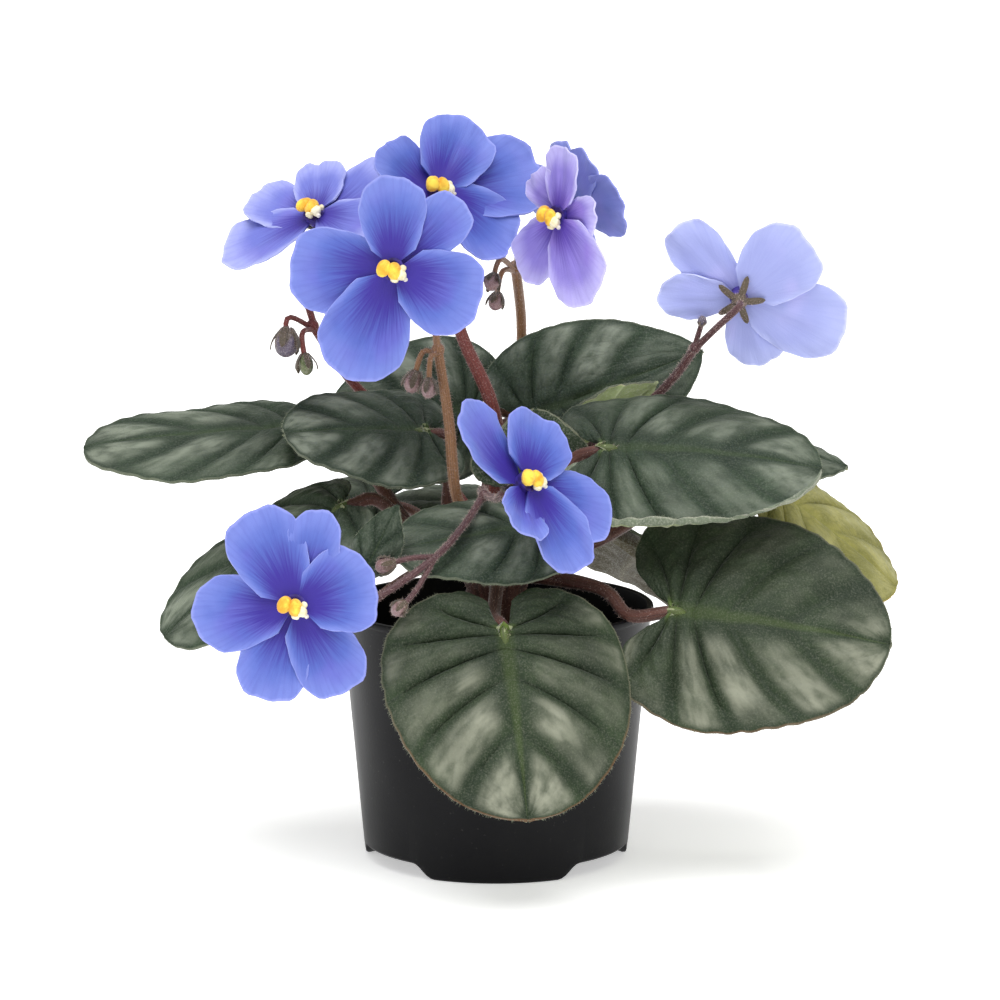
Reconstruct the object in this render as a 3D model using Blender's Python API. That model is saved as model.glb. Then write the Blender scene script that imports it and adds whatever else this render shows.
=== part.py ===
"""Potted african violet: a rosette of furry leaves and blue-violet blooms in a black plastic pot.

Metres, +Z up. The origin lies on the surface under the middle of the pot, and -Y is the front.
"""

import math
from typing import NamedTuple

import bmesh
import bpy
import numpy as np
from mathutils import Matrix, Vector

MM = 0.001
GAP = 0.3 * MM  # between pieces that rest on each other

# Pot
POT_HEIGHT = 66 * MM
RIM_RADIUS = 40 * MM
BASE_RADIUS = 33.8 * MM
POT_WALL = 1.2 * MM
LIP_BEAD = 0.5 * MM
LIP_HEIGHT = 1.8 * MM
FOOT_HEIGHT = 3.7 * MM
FOOT_INNER_RADIUS = 28 * MM
FLOOR_UNDERSIDE = 4.4 * MM
FLOOR_TOP = 5.9 * MM
FEET = 3
ARCH_HALF_FOOT = 17.4 * MM  # half the width of the gap between two feet, on the ground
ARCH_HALF_TOP = 12.1 * MM  # the same at the top of the gap
DRAIN_HOLES = 6
DRAIN_RADIUS = 3.2 * MM
DRAIN_CIRCLE = 18 * MM
POT_SIDES = 42

# Soil and crown
SOIL_EDGE = 49 * MM
SOIL_MOUND = 2.5 * MM
SOIL_BUMP = 0.8 * MM
SOIL_SIDES = 24
SOCKET_FLOOR = 43 * MM
TRUNK_FOOT_RADIUS = 6 * MM
CROWN_RADIUS = 9 * MM
CROWN_TOP = 92 * MM
CROWN_SIDES = 10

# Leaves
LEAF_THICKNESS = 1.0 * MM
RIB_HALF_WIDTH = 2.0 * MM
RIB_DEPTH = 2.3 * MM
SCALLOP = 0.9 * MM
PETIOLE_RADIUS = 1.75 * MM
PETIOLE_ROOT_RADIUS = 2.5 * MM
PETIOLE_SIDES = 6
PETIOLE_RINGS = 6

# Blooms
PETAL_THICKNESS = 0.8 * MM
PETAL_ROOT = 1.2 * MM
THROAT_RADIUS = 2.6 * MM
THROAT_BACK = 3.2 * MM
THROAT_FRONT = 0.8 * MM
SEPAL_LENGTH = 6.5 * MM
STALK_SIDES = 5


class Leaf(NamedTuple):
    """A leaf by the notch that its petiole meets and the way its midrib points; millimetres, degrees."""

    name: str
    base: tuple
    heading: float  # 0 is +X, 90 is +Y
    pitch: float  # the midrib's rise at the notch
    roll: float  # positive lifts the side that is left of the midrib
    length: float
    width: float
    bend: float  # how far the midrib droops from notch to tip
    root: float  # height on the crown where the petiole starts
    form: str = "heart"
    cup: float = 3.0  # how far the margins lie below the midrib
    wave: float = 1.0
    arrive: float = 25  # the angle at which the petiole comes up to the blade
    veins: int = 6
    via: tuple = ()  # a point that the petiole passes, where it has to clear a neighbour


LEAVES = (
    Leaf("leaf_front", (2, -47.2, 68.4), -77, -52, 0, 50, 62.5, 14, 75, "closed", cup=5, arrive=46),
    Leaf("leaf_right_low", (44.5, -27, 69.5), -8, -4, 48, 56, 61, 14, 75, "round", cup=4, arrive=18,
         via=(26, -15, 73)),
    Leaf("leaf_right_high", (27.5, -8, 108), -6, 2, 32, 56, 50, 18, 84, "round", cup=5, via=(13, -7, 95)),
    Leaf("leaf_left_long", (-50, 13, 110), 178, -3, -17, 57, 42, 6, 80, "oval", veins=5),
    Leaf("leaf_left_mid", (-18, 4, 110.5), -160, 6, -28, 38, 40, 10, 84, "round", veins=5),
    Leaf("leaf_left_low", (-39, -7, 93), -166, -26, -20, 57, 40, 20, 76, "oval", veins=5),
    Leaf("leaf_young_left", (-33, -42, 82), 20, 62, 50, 19, 13, 0, 79, "young", cup=1, veins=4,
         via=(-20, -24, 79)),
    Leaf("leaf_centre", (12, -24.5, 91), -160, -2, -28, 41, 34, 10, 79, "round", veins=5),
    Leaf("leaf_back_right", (8, 26, 110), 10, 20, 68, 50, 42, 8, 86, veins=5, via=(-2, 17, 93)),
    Leaf("leaf_fold_right", (18, 19.5, 103.5), 10, 37, -70, 29, 18, 10, 83, "young", cup=1.5, veins=4,
         via=(13, 12, 90)),
    Leaf("leaf_right_small", (52, 37, 102), 4, 0, 20, 42, 34, 24, 78, veins=5, via=(24, 18, 82)),
    Leaf("leaf_right_back", (72, 10, 94), 4, -34, 30, 42, 34, 14, 78, "oval", veins=5),
    Leaf("leaf_young_centre", (8, -0.5, 96.5), -75, 78, 0, 23, 32, 14, 88, "young", cup=2, veins=4),
    Leaf("leaf_back_left", (-6, 34, 110.5), 172, 4, -68, 38, 40, 8, 84, veins=5, via=(-2, 24, 91)),
    Leaf("leaf_rear_left", (-30, 27, 88), 165, -5, -24, 34, 36, 14, 77, veins=4),
    Leaf("leaf_rear_middle", (-9, 33, 84.5), 94, 15, 0, 43, 39.5, 40, 77, veins=4),
    Leaf("leaf_rear_right", (28, 31, 80.5), 46, -32, 0, 45, 44, 14, 74, veins=4),
)

# Half outlines from notch to tip: share of the length, share of the half width
LEAF_FORMS = {
    "heart": ((-0.07, 0.16), (-0.15, 0.42), (-0.10, 0.74), (0.12, 0.97), (0.38, 0.97),
              (0.62, 0.78), (0.83, 0.46), (0.95, 0.20)),
    "round": ((-0.10, 0.17), (-0.20, 0.41), (-0.16, 0.78), (0.09, 1.00), (0.38, 1.00),
              (0.66, 0.84), (0.87, 0.56), (0.97, 0.26)),
    "closed": ((-0.09, 0.085), (-0.18, 0.12), (-0.235, 0.30), (-0.20, 0.62), (-0.03, 0.93),
               (0.28, 1.00), (0.60, 0.88), (0.85, 0.58), (0.97, 0.26)),
    "oval": ((-0.05, 0.18), (-0.09, 0.42), (-0.03, 0.72), (0.18, 0.96), (0.46, 1.00),
             (0.73, 0.86), (0.92, 0.56), (0.99, 0.25)),
    "young": ((-0.01, 0.25), (0.04, 0.55), (0.16, 0.86), (0.34, 1.00), (0.54, 0.90),
              (0.74, 0.62), (0.90, 0.30)),
}


class Bloom(NamedTuple):
    """A bloom by the middle of its throat and the way it faces; millimetres, degrees."""

    name: str
    centre: tuple
    azimuth: float  # where it faces, 0 is the front and 90 the right
    rise: float  # how far it looks up
    petals: tuple  # (clock angle, length, width, lift) seen from its front, 0 upwards


BLOOMS = (
    Bloom("front", (-25.7, -32, 157.3), 0, 4,
          ((0, 23.5, 15.5, 6), (46, 25, 13, 8), (114, 23.5, 20, 0), (203, 29.5, 20.5, 2),
           (268, 26, 20, -2))),
    Bloom("low_left", (-49.5, -62, 77.8), -6, 8,
          ((-26, 26, 18, 4), (16, 25, 12.5, 8), (71, 21, 20, 2), (148, 25, 16.5, -2), (200, 25, 16.5, 2),
           (262, 26, 17.5, -2))),
    Bloom("right", (62.2, 1, 145.6), 176, 8,
          ((44, 24.5, 13, 6), (91, 21, 11, 4), (202, 19, 15, 0), (251, 28.5, 18.5, 0), (313, 23.5, 19, 0))),
    Bloom("top_left", (-46, -2, 167), -30, 52,
          ((344, 17, 13, 8), (42, 23, 15, 8), (98, 20, 16, -2), (239, 26.5, 17, -6), (284, 22.5, 14, 4))),
    Bloom("top", (-14.9, -6, 173.8), 24, 34,
          ((34, 22, 18, 6), (80, 31, 21.5, 0), (132, 24, 18, -6), (222, 22, 17, -4), (317, 18, 14, 6))),
    Bloom("centre", (7.7, -46, 106), 46, 26,
          ((38, 19, 19, 4), (120, 28, 17, 2), (160, 26, 18, 0), (214, 17, 13, 12), (322, 27, 14, 10))),
    Bloom("top_right", (15.5, -17.5, 168.5), -48, 8,
          ((6, 18, 11, 6), (92, 14, 12, 4), (142, 25, 17.5, 0), (218, 20, 15, 0), (318, 14, 10, 16))),
    Bloom("top_rear", (21, 13, 168), 128, 16,
          ((24, 17, 11, 6), (86, 20, 16, 0), (150, 22, 17, 0), (274, 20, 16, 0), (330, 17, 11, 6))),
)


class Stalk(NamedTuple):
    """A flower stalk: its route from the crown, then a pedicel for each bloom and a stem for each bud."""

    name: str
    route: tuple  # points in millimetres from the crown to the fork
    radius: float
    pedicels: tuple  # (bloom, points between fork and calyx)
    buds: tuple  # (tip point, stem's middle point, size, and where it leaves if that isn't the fork)
    colour: str


STALKS = (
    Stalk("stalk_middle", ((-4.9, -5.5, 88.5), (-10, -11.5, 96), (-12, -13, 116), (-14.7, -13, 134)), 1.5,
          (("front", ((-17, -15, 146),)),),
          (((-21, -14, 126), (-18.5, -13, 133.5), 2.3), ((-17, -18, 125), (-16.5, -16, 132.5), 2.0)), "tan"),
    Stalk("stalk_red", ((-1, 2, 92.8), (1, 3, 104), (-1.5, 0, 119), (-9, -3, 137), (-12, -1, 152)), 1.8,
          (("top", ((-13.5, 2, 164),)),), (), "red"),
    Stalk("stalk_rear", ((2, 9.5, 87), (9, 22, 88), (10, 35, 100), (7, 41, 118), (6.5, 39, 135),
                         (5, 24, 150)), 1.5,
          (("top_right", ((8, 4, 161),)), ("top_rear", ((9, 14, 162),))),
          (((-1, 3, 149), (1, 9, 154), 2.0), ((0, 10, 143), (1.5, 14, 150), 1.9)), "tan"),
    Stalk("stalk_left", ((-7.5, 6.5, 90), (-18, 19, 101), (-32, 24, 114), (-40, 19, 124),
                         (-47, 8, 137)), 1.4,
          (("top_left", ((-50, 5, 152),)),),
          (((-53.5, -1, 134), (-53, 2, 140), 3.0), ((-48.5, -2, 128.5), (-49.5, 1, 136), 2.2)), "red"),
    Stalk("stalk_right", ((8.5, 3, 90), (20, 13, 101), (38, 18.5, 114), (46, 13, 123), (51, 4, 132)), 1.3,
          (("right", ((56, -3, 138),)),),
          (((52.5, -1, 139.5), (52, 1, 137), 1.2),), "dark"),
    Stalk("stalk_front", ((-2, -4.9, 92.0), (-3.5, -12, 97.5), (-3, -21, 98)), 1.3,
          (("centre", ((0, -31, 99),)),
           ("low_left", ((-8, -32, 92.5), (-15, -43, 86.5), (-28, -53, 79), (-38, -56, 76)))),
          (((-27.5, -47, 85), (-21.5, -45.5, 86.5), 2.0, (-15, -43, 86.5)),
           ((-24, -51, 75), (-20, -49.5, 79), 1.8, (-15, -43, 86.5))), "dark"),
)

# Colour, roughness and metallic value of each finish
FINISHES = {
    "black_plastic": ((0.012, 0.012, 0.013), 0.38, 0.0),
    "potting_soil": ((0.045, 0.026, 0.015), 0.95, 0.0),
    "petiole_brown": ((0.11, 0.042, 0.030), 0.60, 0.0),
    "leaf_green": ((0.055, 0.105, 0.048), 0.62, 0.0),
    "young_leaf_green": ((0.040, 0.075, 0.035), 0.62, 0.0),
    "yellowing_leaf": ((0.33, 0.29, 0.085), 0.65, 0.0),
    "stalk_tan": ((0.25, 0.125, 0.055), 0.58, 0.0),
    "stalk_red": ((0.17, 0.035, 0.026), 0.55, 0.0),
    "stalk_dark": ((0.085, 0.030, 0.032), 0.60, 0.0),
    "petal_blue": ((0.115, 0.165, 0.68), 0.55, 0.0),
    "petal_violet": ((0.235, 0.175, 0.72), 0.55, 0.0),
    "petal_pale": ((0.42, 0.46, 0.86), 0.60, 0.0),
    "anther_yellow": ((0.86, 0.55, 0.05), 0.60, 0.0),
}
LEAF_FINISHES = {"leaf_right_back": "yellowing_leaf", "leaf_young_centre": "young_leaf_green"}
PETAL_FINISHES = {"right": "petal_pale", "top_right": "petal_violet"}


def clear_scene():
    for thing in list(bpy.data.objects):
        bpy.data.objects.remove(thing)


def finish(name):
    """The material of this finish, made once."""
    if name in bpy.data.materials:
        return bpy.data.materials[name]
    colour, roughness, metallic = FINISHES[name]
    material = bpy.data.materials.new(name)
    material.use_nodes = True
    shader = material.node_tree.nodes["Principled BSDF"]
    shader.inputs["Base Color"].default_value = (*colour, 1)
    shader.inputs["Roughness"].default_value = roughness
    shader.inputs["Metallic"].default_value = metallic
    material.diffuse_color = (*colour, 1)
    return material


def object_of(name, points, faces, finish_name=None):
    """A mesh object from points in metres and faces, with its normals turned outwards."""
    mesh = bpy.data.meshes.new(name)
    mesh.from_pydata([tuple(point) for point in points], [], [tuple(face) for face in faces])
    shape = bmesh.new()
    shape.from_mesh(mesh)
    bmesh.ops.recalc_face_normals(shape, faces=shape.faces)
    shape.to_mesh(mesh)
    shape.free()
    mesh.shade_smooth()
    mesh.set_sharp_from_angle(angle=math.radians(50))
    thing = bpy.data.objects.new(name, mesh)
    bpy.context.scene.collection.objects.link(thing)
    if finish_name:
        mesh.materials.append(finish(finish_name))
    return thing


def united(name, pieces, finish_name, solver="EXACT"):
    """One object from closed pieces that overlap: a Boolean union on a collection, applied."""
    first, rest = pieces[0], pieces[1:]
    helpers = bpy.data.collections.new(name + "_parts")
    bpy.context.scene.collection.children.link(helpers)
    for piece in rest:
        bpy.context.scene.collection.objects.unlink(piece)
        helpers.objects.link(piece)
    join = first.modifiers.new("Union", "BOOLEAN")
    join.operation = "UNION"
    join.operand_type = "COLLECTION"
    join.collection = helpers
    join.solver = solver
    apply_modifiers(first)
    for piece in rest:
        bpy.data.objects.remove(piece)
    bpy.data.collections.remove(helpers)
    first.name = name
    first.data.name = name
    first.data.materials.clear()
    first.data.materials.append(finish(finish_name))
    first.data.shade_smooth()
    first.data.set_sharp_from_angle(angle=math.radians(50))
    return first


def apply_modifiers(thing):
    graph = bpy.context.evaluated_depsgraph_get()
    mesh = bpy.data.meshes.new_from_object(thing.evaluated_get(graph))
    thing.modifiers.clear()
    thing.data = mesh


def turned(name, profile, sides, finish_name):
    """A closed body turned round +Z from (radius, height) points. The ends lie on the axis."""
    points = []
    rings = []
    for radius, height in profile:
        if radius == 0:
            rings.append([len(points)])
            points.append((0, 0, height))
            continue
        rings.append(list(range(len(points), len(points) + sides)))
        for step in range(sides):
            turn = math.tau * step / sides
            points.append((radius * math.cos(turn), radius * math.sin(turn), height))
    faces = []
    for low, high in zip(rings, rings[1:]):
        for step in range(sides):
            after = (step + 1) % sides
            if len(low) == 1:
                faces.append((low[0], high[after], high[step]))
            elif len(high) == 1:
                faces.append((low[step], low[after], high[0]))
            else:
                faces.append((low[step], low[after], high[after], high[step]))
    return object_of(name, points, faces, finish_name)


def prism(name, outline, near, far):
    """A cutter: an outline in X and Z, drawn out along Y from near to far."""
    count = len(outline)
    points = [(x, near, z) for x, z in outline] + [(x, far, z) for x, z in outline]
    faces = [tuple(range(count)), tuple(range(count, 2 * count))]
    for step in range(count):
        after = (step + 1) % count
        faces.append((step, after, count + after, count + step))
    thing = object_of(name, points, faces)
    thing.hide_render = True
    thing.display_type = "WIRE"
    return thing


def wall_radius(height):
    """The pot's outer radius at this height."""
    return BASE_RADIUS + (RIM_RADIUS - BASE_RADIUS) * height / POT_HEIGHT


def pot():
    lip_foot = POT_HEIGHT - LIP_HEIGHT
    round_off = 1.2 * MM
    profile = (
        (0, FLOOR_UNDERSIDE),
        (FOOT_INNER_RADIUS, FLOOR_UNDERSIDE),
        (FOOT_INNER_RADIUS, 0),
        (BASE_RADIUS - round_off, 0),
        (BASE_RADIUS - round_off / 3, round_off / 3),
        (wall_radius(round_off), round_off),
        (wall_radius(lip_foot), lip_foot),
        (RIM_RADIUS + LIP_BEAD, lip_foot + LIP_BEAD),
        (RIM_RADIUS + LIP_BEAD, POT_HEIGHT - LIP_BEAD),
        (RIM_RADIUS, POT_HEIGHT),
        (RIM_RADIUS - POT_WALL / 2, POT_HEIGHT),
        (RIM_RADIUS - POT_WALL, POT_HEIGHT - LIP_BEAD),
        (wall_radius(FLOOR_TOP) - POT_WALL, FLOOR_TOP),
        (0, FLOOR_TOP),
    )
    body = turned("pot", profile, POT_SIDES, "black_plastic")
    cutters = [foot_gap(number) for number in range(FEET)]
    cutters += [drain_hole(number) for number in range(DRAIN_HOLES)]
    for cutter in cutters:
        tool = body.modifiers.new("Cut", "BOOLEAN")
        tool.operation = "DIFFERENCE"
        tool.object = cutter
        apply_modifiers(body)
    for cutter in cutters:
        bpy.data.objects.remove(cutter)
    body.data.shade_smooth()
    body.data.set_sharp_from_angle(angle=math.radians(40))
    return body


def foot_gap(number):
    """The S-sided gap between two feet, as a cutter through the wall's foot."""
    steps = 5
    flank = []
    for step in range(steps + 1):
        share = step / steps
        x = ARCH_HALF_FOOT + (ARCH_HALF_TOP - ARCH_HALF_FOOT) * share
        flank.append((x, FOOT_HEIGHT * (1 - math.cos(math.pi * share)) / 2))
    below = -2 * MM
    right = [(ARCH_HALF_FOOT, below)] + flank
    outline = right + [(-x, z) for x, z in reversed(right)]
    cutter = prism("foot_gap_cutter", outline, -45 * MM, -20 * MM)
    cutter.rotation_euler.z = math.radians(60) + math.tau * number / FEET
    return cutter


def drain_hole(number):
    turn = math.tau * (number + 0.5) / DRAIN_HOLES
    sides = 8
    reach = 3 * MM
    profile = ((0, FLOOR_UNDERSIDE - reach), (DRAIN_RADIUS, FLOOR_UNDERSIDE - reach),
               (DRAIN_RADIUS, FLOOR_TOP + reach), (0, FLOOR_TOP + reach))
    cutter = turned("drain_cutter", profile, sides, None)
    cutter.hide_render = True
    cutter.display_type = "WIRE"
    cutter.location = (DRAIN_CIRCLE * math.cos(turn), DRAIN_CIRCLE * math.sin(turn), 0)
    return cutter


def soil():
    """The soil fills the pot to below its rim, with a lumpy top and a plain hole for the trunk."""
    floor = FLOOR_TOP + GAP
    socket = TRUNK_FOOT_RADIUS + GAP
    edge = wall_radius(SOIL_EDGE) - POT_WALL - GAP
    rings = (edge - 1.5 * MM, edge * 0.76, edge * 0.52, edge * 0.32)
    profile = [(0, floor), (wall_radius(floor) - POT_WALL - GAP, floor), (edge, SOIL_EDGE)]
    profile += [(radius, SOIL_EDGE + SOIL_MOUND * (1 - (radius / edge) ** 2)) for radius in rings]
    profile += [(socket, SOIL_EDGE + SOIL_MOUND), (socket, SOCKET_FLOOR), (0, SOCKET_FLOOR)]
    body = turned("soil", profile, SOIL_SIDES, "potting_soil")
    for vertex in body.data.vertices:
        radius = math.hypot(vertex.co.x, vertex.co.y)
        if vertex.co.z > SOIL_EDGE and radius > socket + MM:
            lump = math.sin(vertex.co.x / (3.1 * MM)) * math.cos(vertex.co.y / (2.7 * MM))
            vertex.co.z += SOIL_BUMP * lump
    return body


def spline(points, count):
    """Points along a smooth curve through the given ones, evenly spaced."""
    given = [np.array(point, float) for point in points]
    ends = [2 * given[0] - given[1], *given, 2 * given[-1] - given[-2]]
    dense = []
    steps = 16
    for a, b, c, d in zip(ends, ends[1:], ends[2:], ends[3:]):
        for step in range(steps):
            t = step / steps
            dense.append(0.5 * (2 * b + (c - a) * t + (2 * a - 5 * b + 4 * c - d) * t * t
                                + (3 * b - a - 3 * c + d) * t ** 3))
    dense.append(given[-1])
    dense = np.array(dense)
    gone = np.concatenate([[0], np.cumsum(np.linalg.norm(np.diff(dense, axis=0), axis=1))])
    wanted = np.linspace(0, gone[-1], count)
    return np.stack([np.interp(wanted, gone, dense[:, axis]) for axis in range(dense.shape[1])], axis=1)


def tube(name, points, radii, sides):
    """A closed round bar along the points, with a radius at each."""
    points = np.array(points, float)
    tangents = np.gradient(points, axis=0)
    tangents /= np.linalg.norm(tangents, axis=1)[:, None]
    side = Vector(tangents[0]).orthogonal().normalized()
    corners = []
    for point, tangent, radius in zip(points, tangents, radii):
        along = Vector(tangent)
        side = (side - along * side.dot(along)).normalized()
        other = along.cross(side)
        for step in range(sides):
            turn = math.tau * step / sides
            spoke = math.cos(turn) * side + math.sin(turn) * other
            corners.append(Vector(point) + spoke * float(radius))
    faces = [tuple(range(sides)), tuple(range(len(corners) - sides, len(corners)))]
    for ring in range(len(points) - 1):
        for step in range(sides):
            a = ring * sides + step
            b = ring * sides + (step + 1) % sides
            faces.append((a, b, b + sides, a + sides))
    return object_of(name, corners, faces)


def ellipsoid(name, centre, axis, length, radius, sides=5, rings=4):
    """A closed egg of this length along the axis."""
    spots = []
    radii = []
    for ring in range(1, rings):
        turn = math.pi * ring / rings
        spots.append(Vector(centre) - Vector(axis).normalized() * math.cos(turn) * length / 2)
        radii.append(radius * math.sin(turn))
    return tube(name, spots, radii, sides)


def sheet(name, points, triangles, over, under, finish_name=None):
    """A closed blade from a sheet of triangles, thickened along its normals, with both faces split alike."""
    points = np.array(points, float)
    triangles = np.array(triangles)
    a, b, c = (points[triangles[:, corner]] for corner in range(3))
    flat = np.cross(b - a, c - a)
    normals = np.zeros_like(points)
    for corner in range(3):
        np.add.at(normals, triangles[:, corner], flat)
    normals /= np.linalg.norm(normals, axis=1)[:, None]
    top = points + normals * np.array(over)[:, None]
    bottom = points - normals * np.array(under)[:, None]
    count = len(points)
    faces = [tuple(face) for face in triangles]
    faces += [tuple(face[::-1] + count) for face in triangles]
    edges = {(face[side], face[(side + 1) % 3]) for face in triangles.tolist() for side in range(3)}
    for start, end in edges:
        if (end, start) not in edges:
            faces.append((start, start + count, end + count))
            faces.append((start, end + count, end))
    return object_of(name, np.concatenate([top, bottom]), faces, finish_name)


def leaf_outline(leaf):
    """Points of the half outline from notch to tip, two for each row of the blade, in millimetres."""
    half = leaf.width / 2
    rows = 2 * leaf.veins
    corners = [(0, RIB_HALF_WIDTH / MM)]
    corners += [(x * leaf.length, y * half) for x, y in LEAF_FORMS[leaf.form]]
    corners.append((leaf.length, 0))
    edge = spline(corners, 2 * rows + 1)
    outward = np.gradient(edge, axis=0)
    outward = np.stack([-outward[:, 1], outward[:, 0]], axis=1)
    outward /= np.linalg.norm(outward, axis=1)[:, None]
    size = SCALLOP / MM * min(1, leaf.length / 45)
    for number in range(1, 2 * rows):
        edge[number] += outward[number] * size * (0.5 if number % 2 else -0.5)
    return edge


def leaf_relief(leaf, row, share, across):
    """Height of the blade at a row, a share of the way out along its vein, in millimetres."""
    rows = 2 * leaf.veins
    quilt = 0.022 * leaf.width * math.sin(math.pi * min(1, share * 1.25)) ** 0.7 if share < 0.8 else 0.15
    quilt *= math.sin(math.pi * min(row + 1, rows - row) / rows) ** 0.5
    droop = leaf.cup * (2 * across / leaf.width) ** 2
    waving = leaf.wave * math.sin(row * math.tau * 2.5 / rows + leaf.heading) * share ** 3 * min(1, row / 2)
    return -quilt * math.cos(math.pi * row) - droop + waving


def bent(leaf, x, y, z):
    """A point of the flat blade on the drooping one."""
    curve = math.radians(leaf.bend) / leaf.length
    if abs(curve) < 1e-6:
        return (x, y, z)
    turn = curve * x
    return (math.sin(turn) / curve + z * math.sin(turn), y,
            (math.cos(turn) - 1) / curve + z * math.cos(turn))


def leaf_grid(leaf):
    """The blade's middle surface in millimetres, its triangles, and how deep its rib is at each point."""
    rows = 2 * leaf.veins
    edge = leaf_outline(leaf)
    points = []
    depth = []

    def add(x, y, row, share, rib):
        points.append(bent(leaf, x, y, leaf_relief(leaf, row, share, y)))
        depth.append(rib * RIB_DEPTH * (1 - row / rows) ** 0.7)
        return len(points) - 1

    middle = []
    for row in range(rows + 1):
        middle.append(add(leaf.length * (row / rows) ** 2, 0, row, 0, 1))
    triangles = []
    for side in (1, -1):
        inner, half, rim = {}, {}, {}
        for row in range(rows):
            start = np.array([leaf.length * (row / rows) ** 2, 0])
            end = edge[2 * row]
            reach = np.linalg.norm(end - start)
            rim[row] = add(end[0], side * end[1], row, 1, 0 if row else 0.35)
            rim[row + 0.5] = add(edge[2 * row + 1][0], side * edge[2 * row + 1][1], row + 0.5, 1, 0)
            if row == 0:
                continue
            width = RIB_HALF_WIDTH / MM * (1 - 0.6 * row / rows)
            near = start + (end - start) * min(width / reach, 0.3)
            inner[row] = add(near[0], side * near[1], row, 0.12, 0.15)
            far = start + (end - start) * 0.55
            half[row] = add(far[0], side * far[1], row, 0.55, 0)
        inner[0] = rim[0]
        tip = middle[rows]
        mine = [(middle[0], rim[0], inner[1]), (middle[0], inner[1], middle[1]),
                (rim[0], half[1], inner[1]), (rim[0], rim[0.5], half[1]), (rim[0.5], rim[1], half[1])]
        for row in range(1, rows - 1):
            after = row + 1
            mine += [(middle[row], inner[row], middle[after]), (inner[row], inner[after], middle[after]),
                     (inner[row], half[row], half[after]), (inner[row], half[after], inner[after]),
                     (half[row], rim[row], rim[row + 0.5]), (half[row], rim[row + 0.5], half[after]),
                     (half[after], rim[row + 0.5], rim[after])]
        last = rows - 1
        mine += [(middle[last], inner[last], tip), (inner[last], half[last], tip),
                 (half[last], rim[last + 0.5], tip), (half[last], rim[last], rim[last + 0.5])]
        triangles += mine if side < 0 else [face[::-1] for face in mine]
    return points, triangles, depth


def leaf_turn(leaf):
    """The blade's rotation: its own X is the midrib, and its own Z its upper face."""
    return (math.radians(leaf.roll), -math.radians(leaf.pitch), math.radians(leaf.heading))


def place_leaf(thing, leaf):
    thing.rotation_euler = leaf_turn(leaf)
    thing.location = Vector(leaf.base) * MM


def leaf_blade(leaf):
    points, triangles, depth = leaf_grid(leaf)
    points = np.array(points) * MM
    over = np.full(len(points), LEAF_THICKNESS / 2)
    under = LEAF_THICKNESS / 2 + np.array(depth)
    blade = sheet(leaf.name, points, triangles, over, under, LEAF_FINISHES.get(leaf.name, "leaf_green"))
    place_leaf(blade, leaf)
    return blade


def petiole(leaf):
    """The leaf's stem, from inside the crown to just behind the blade's notch."""
    frame = Matrix.Translation(Vector(leaf.base)) @ matrix_of(leaf_turn(leaf))
    slim = min(1, 0.45 + leaf.length / 90) / MM
    slope = math.radians(leaf.arrive)
    clear = 2.8 if leaf.form in ("round", "closed") else 2.0
    behind = clear * GAP / MM + slim * PETIOLE_RADIUS * math.sin(slope)
    end = frame @ Vector((-behind, 0, -1.0))
    along = frame.to_3x3() @ Vector((math.cos(slope), 0, math.sin(slope)))
    toward = Vector(leaf.via or leaf.base)
    flat = Vector((toward.x, toward.y, 0)).normalized()
    start = flat * 3 + Vector((0, 0, leaf.root))
    reach = (end - start).length
    knee = Vector(leaf.via) if leaf.via else start + flat * reach * 0.32 + Vector((0, 0, reach * 0.05))
    before = end - along * reach * 0.22
    route = spline((start, knee, before, end), PETIOLE_RINGS)
    radii = np.interp(np.arange(PETIOLE_RINGS), (0, PETIOLE_RINGS / 2, PETIOLE_RINGS),
                      (PETIOLE_ROOT_RADIUS, PETIOLE_RADIUS, PETIOLE_RADIUS))
    return tube(leaf.name + "_petiole", route * MM, radii * slim * MM, PETIOLE_SIDES)


def matrix_of(turn):
    return (Matrix.Rotation(turn[2], 4, "Z") @ Matrix.Rotation(turn[1], 4, "Y")
            @ Matrix.Rotation(turn[0], 4, "X"))


def crown():
    """The trunk, from its hole in the soil to the growing point, with every petiole fused to it."""
    profile = (
        (0, SOCKET_FLOOR + GAP),
        (TRUNK_FOOT_RADIUS, SOCKET_FLOOR + GAP),
        (TRUNK_FOOT_RADIUS, SOIL_EDGE + SOIL_MOUND + MM),
        (CROWN_RADIUS * 0.85, CROWN_TOP - 24 * MM),
        (CROWN_RADIUS, CROWN_TOP - 12 * MM),
        (CROWN_RADIUS * 0.92, CROWN_TOP - 5 * MM),
        (CROWN_RADIUS * 0.55, CROWN_TOP - 1 * MM),
        (0, CROWN_TOP),
    )
    trunk = turned("trunk", profile, CROWN_SIDES, None)
    return united("crown", [trunk] + [petiole(leaf) for leaf in LEAVES], "petiole_brown")


def bloom_frame(bloom):
    """The bloom's placement in millimetres: its own Z faces out of the throat, and its own Y is up."""
    azimuth = math.radians(bloom.azimuth)
    rise = math.radians(bloom.rise)
    face = Vector((math.sin(azimuth) * math.cos(rise), -math.cos(azimuth) * math.cos(rise), math.sin(rise)))
    right = Vector((0, 0, 1)).cross(face).normalized()
    up = face.cross(right)
    turn = Matrix((right, up, face)).transposed()
    return Matrix.Translation(Vector(bloom.centre)) @ turn.to_4x4()


def place_bloom(thing, bloom):
    frame = bloom_frame(bloom)
    thing.rotation_euler = frame.to_euler()
    thing.location = frame.translation * MM


PETAL_ROWS = (0.0, 0.36, 0.68, 0.90)
PETAL_COLUMNS = (-1.0, -0.4, 0.4, 1.0)
PETAL_LEVELS = (0.2, -1.0, 0.33, -0.87, -2.1, -1.13)  # height of each petal's layer in millimetres


def petal_half_width(share, width):
    """Half the petal's width at a share of its length: narrow at the root, round at the tip."""
    return width * 0.63 * (share * 0.92 + 0.08) ** 0.52 * math.sqrt(max(0, 1 - share ** 3.6))


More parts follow.
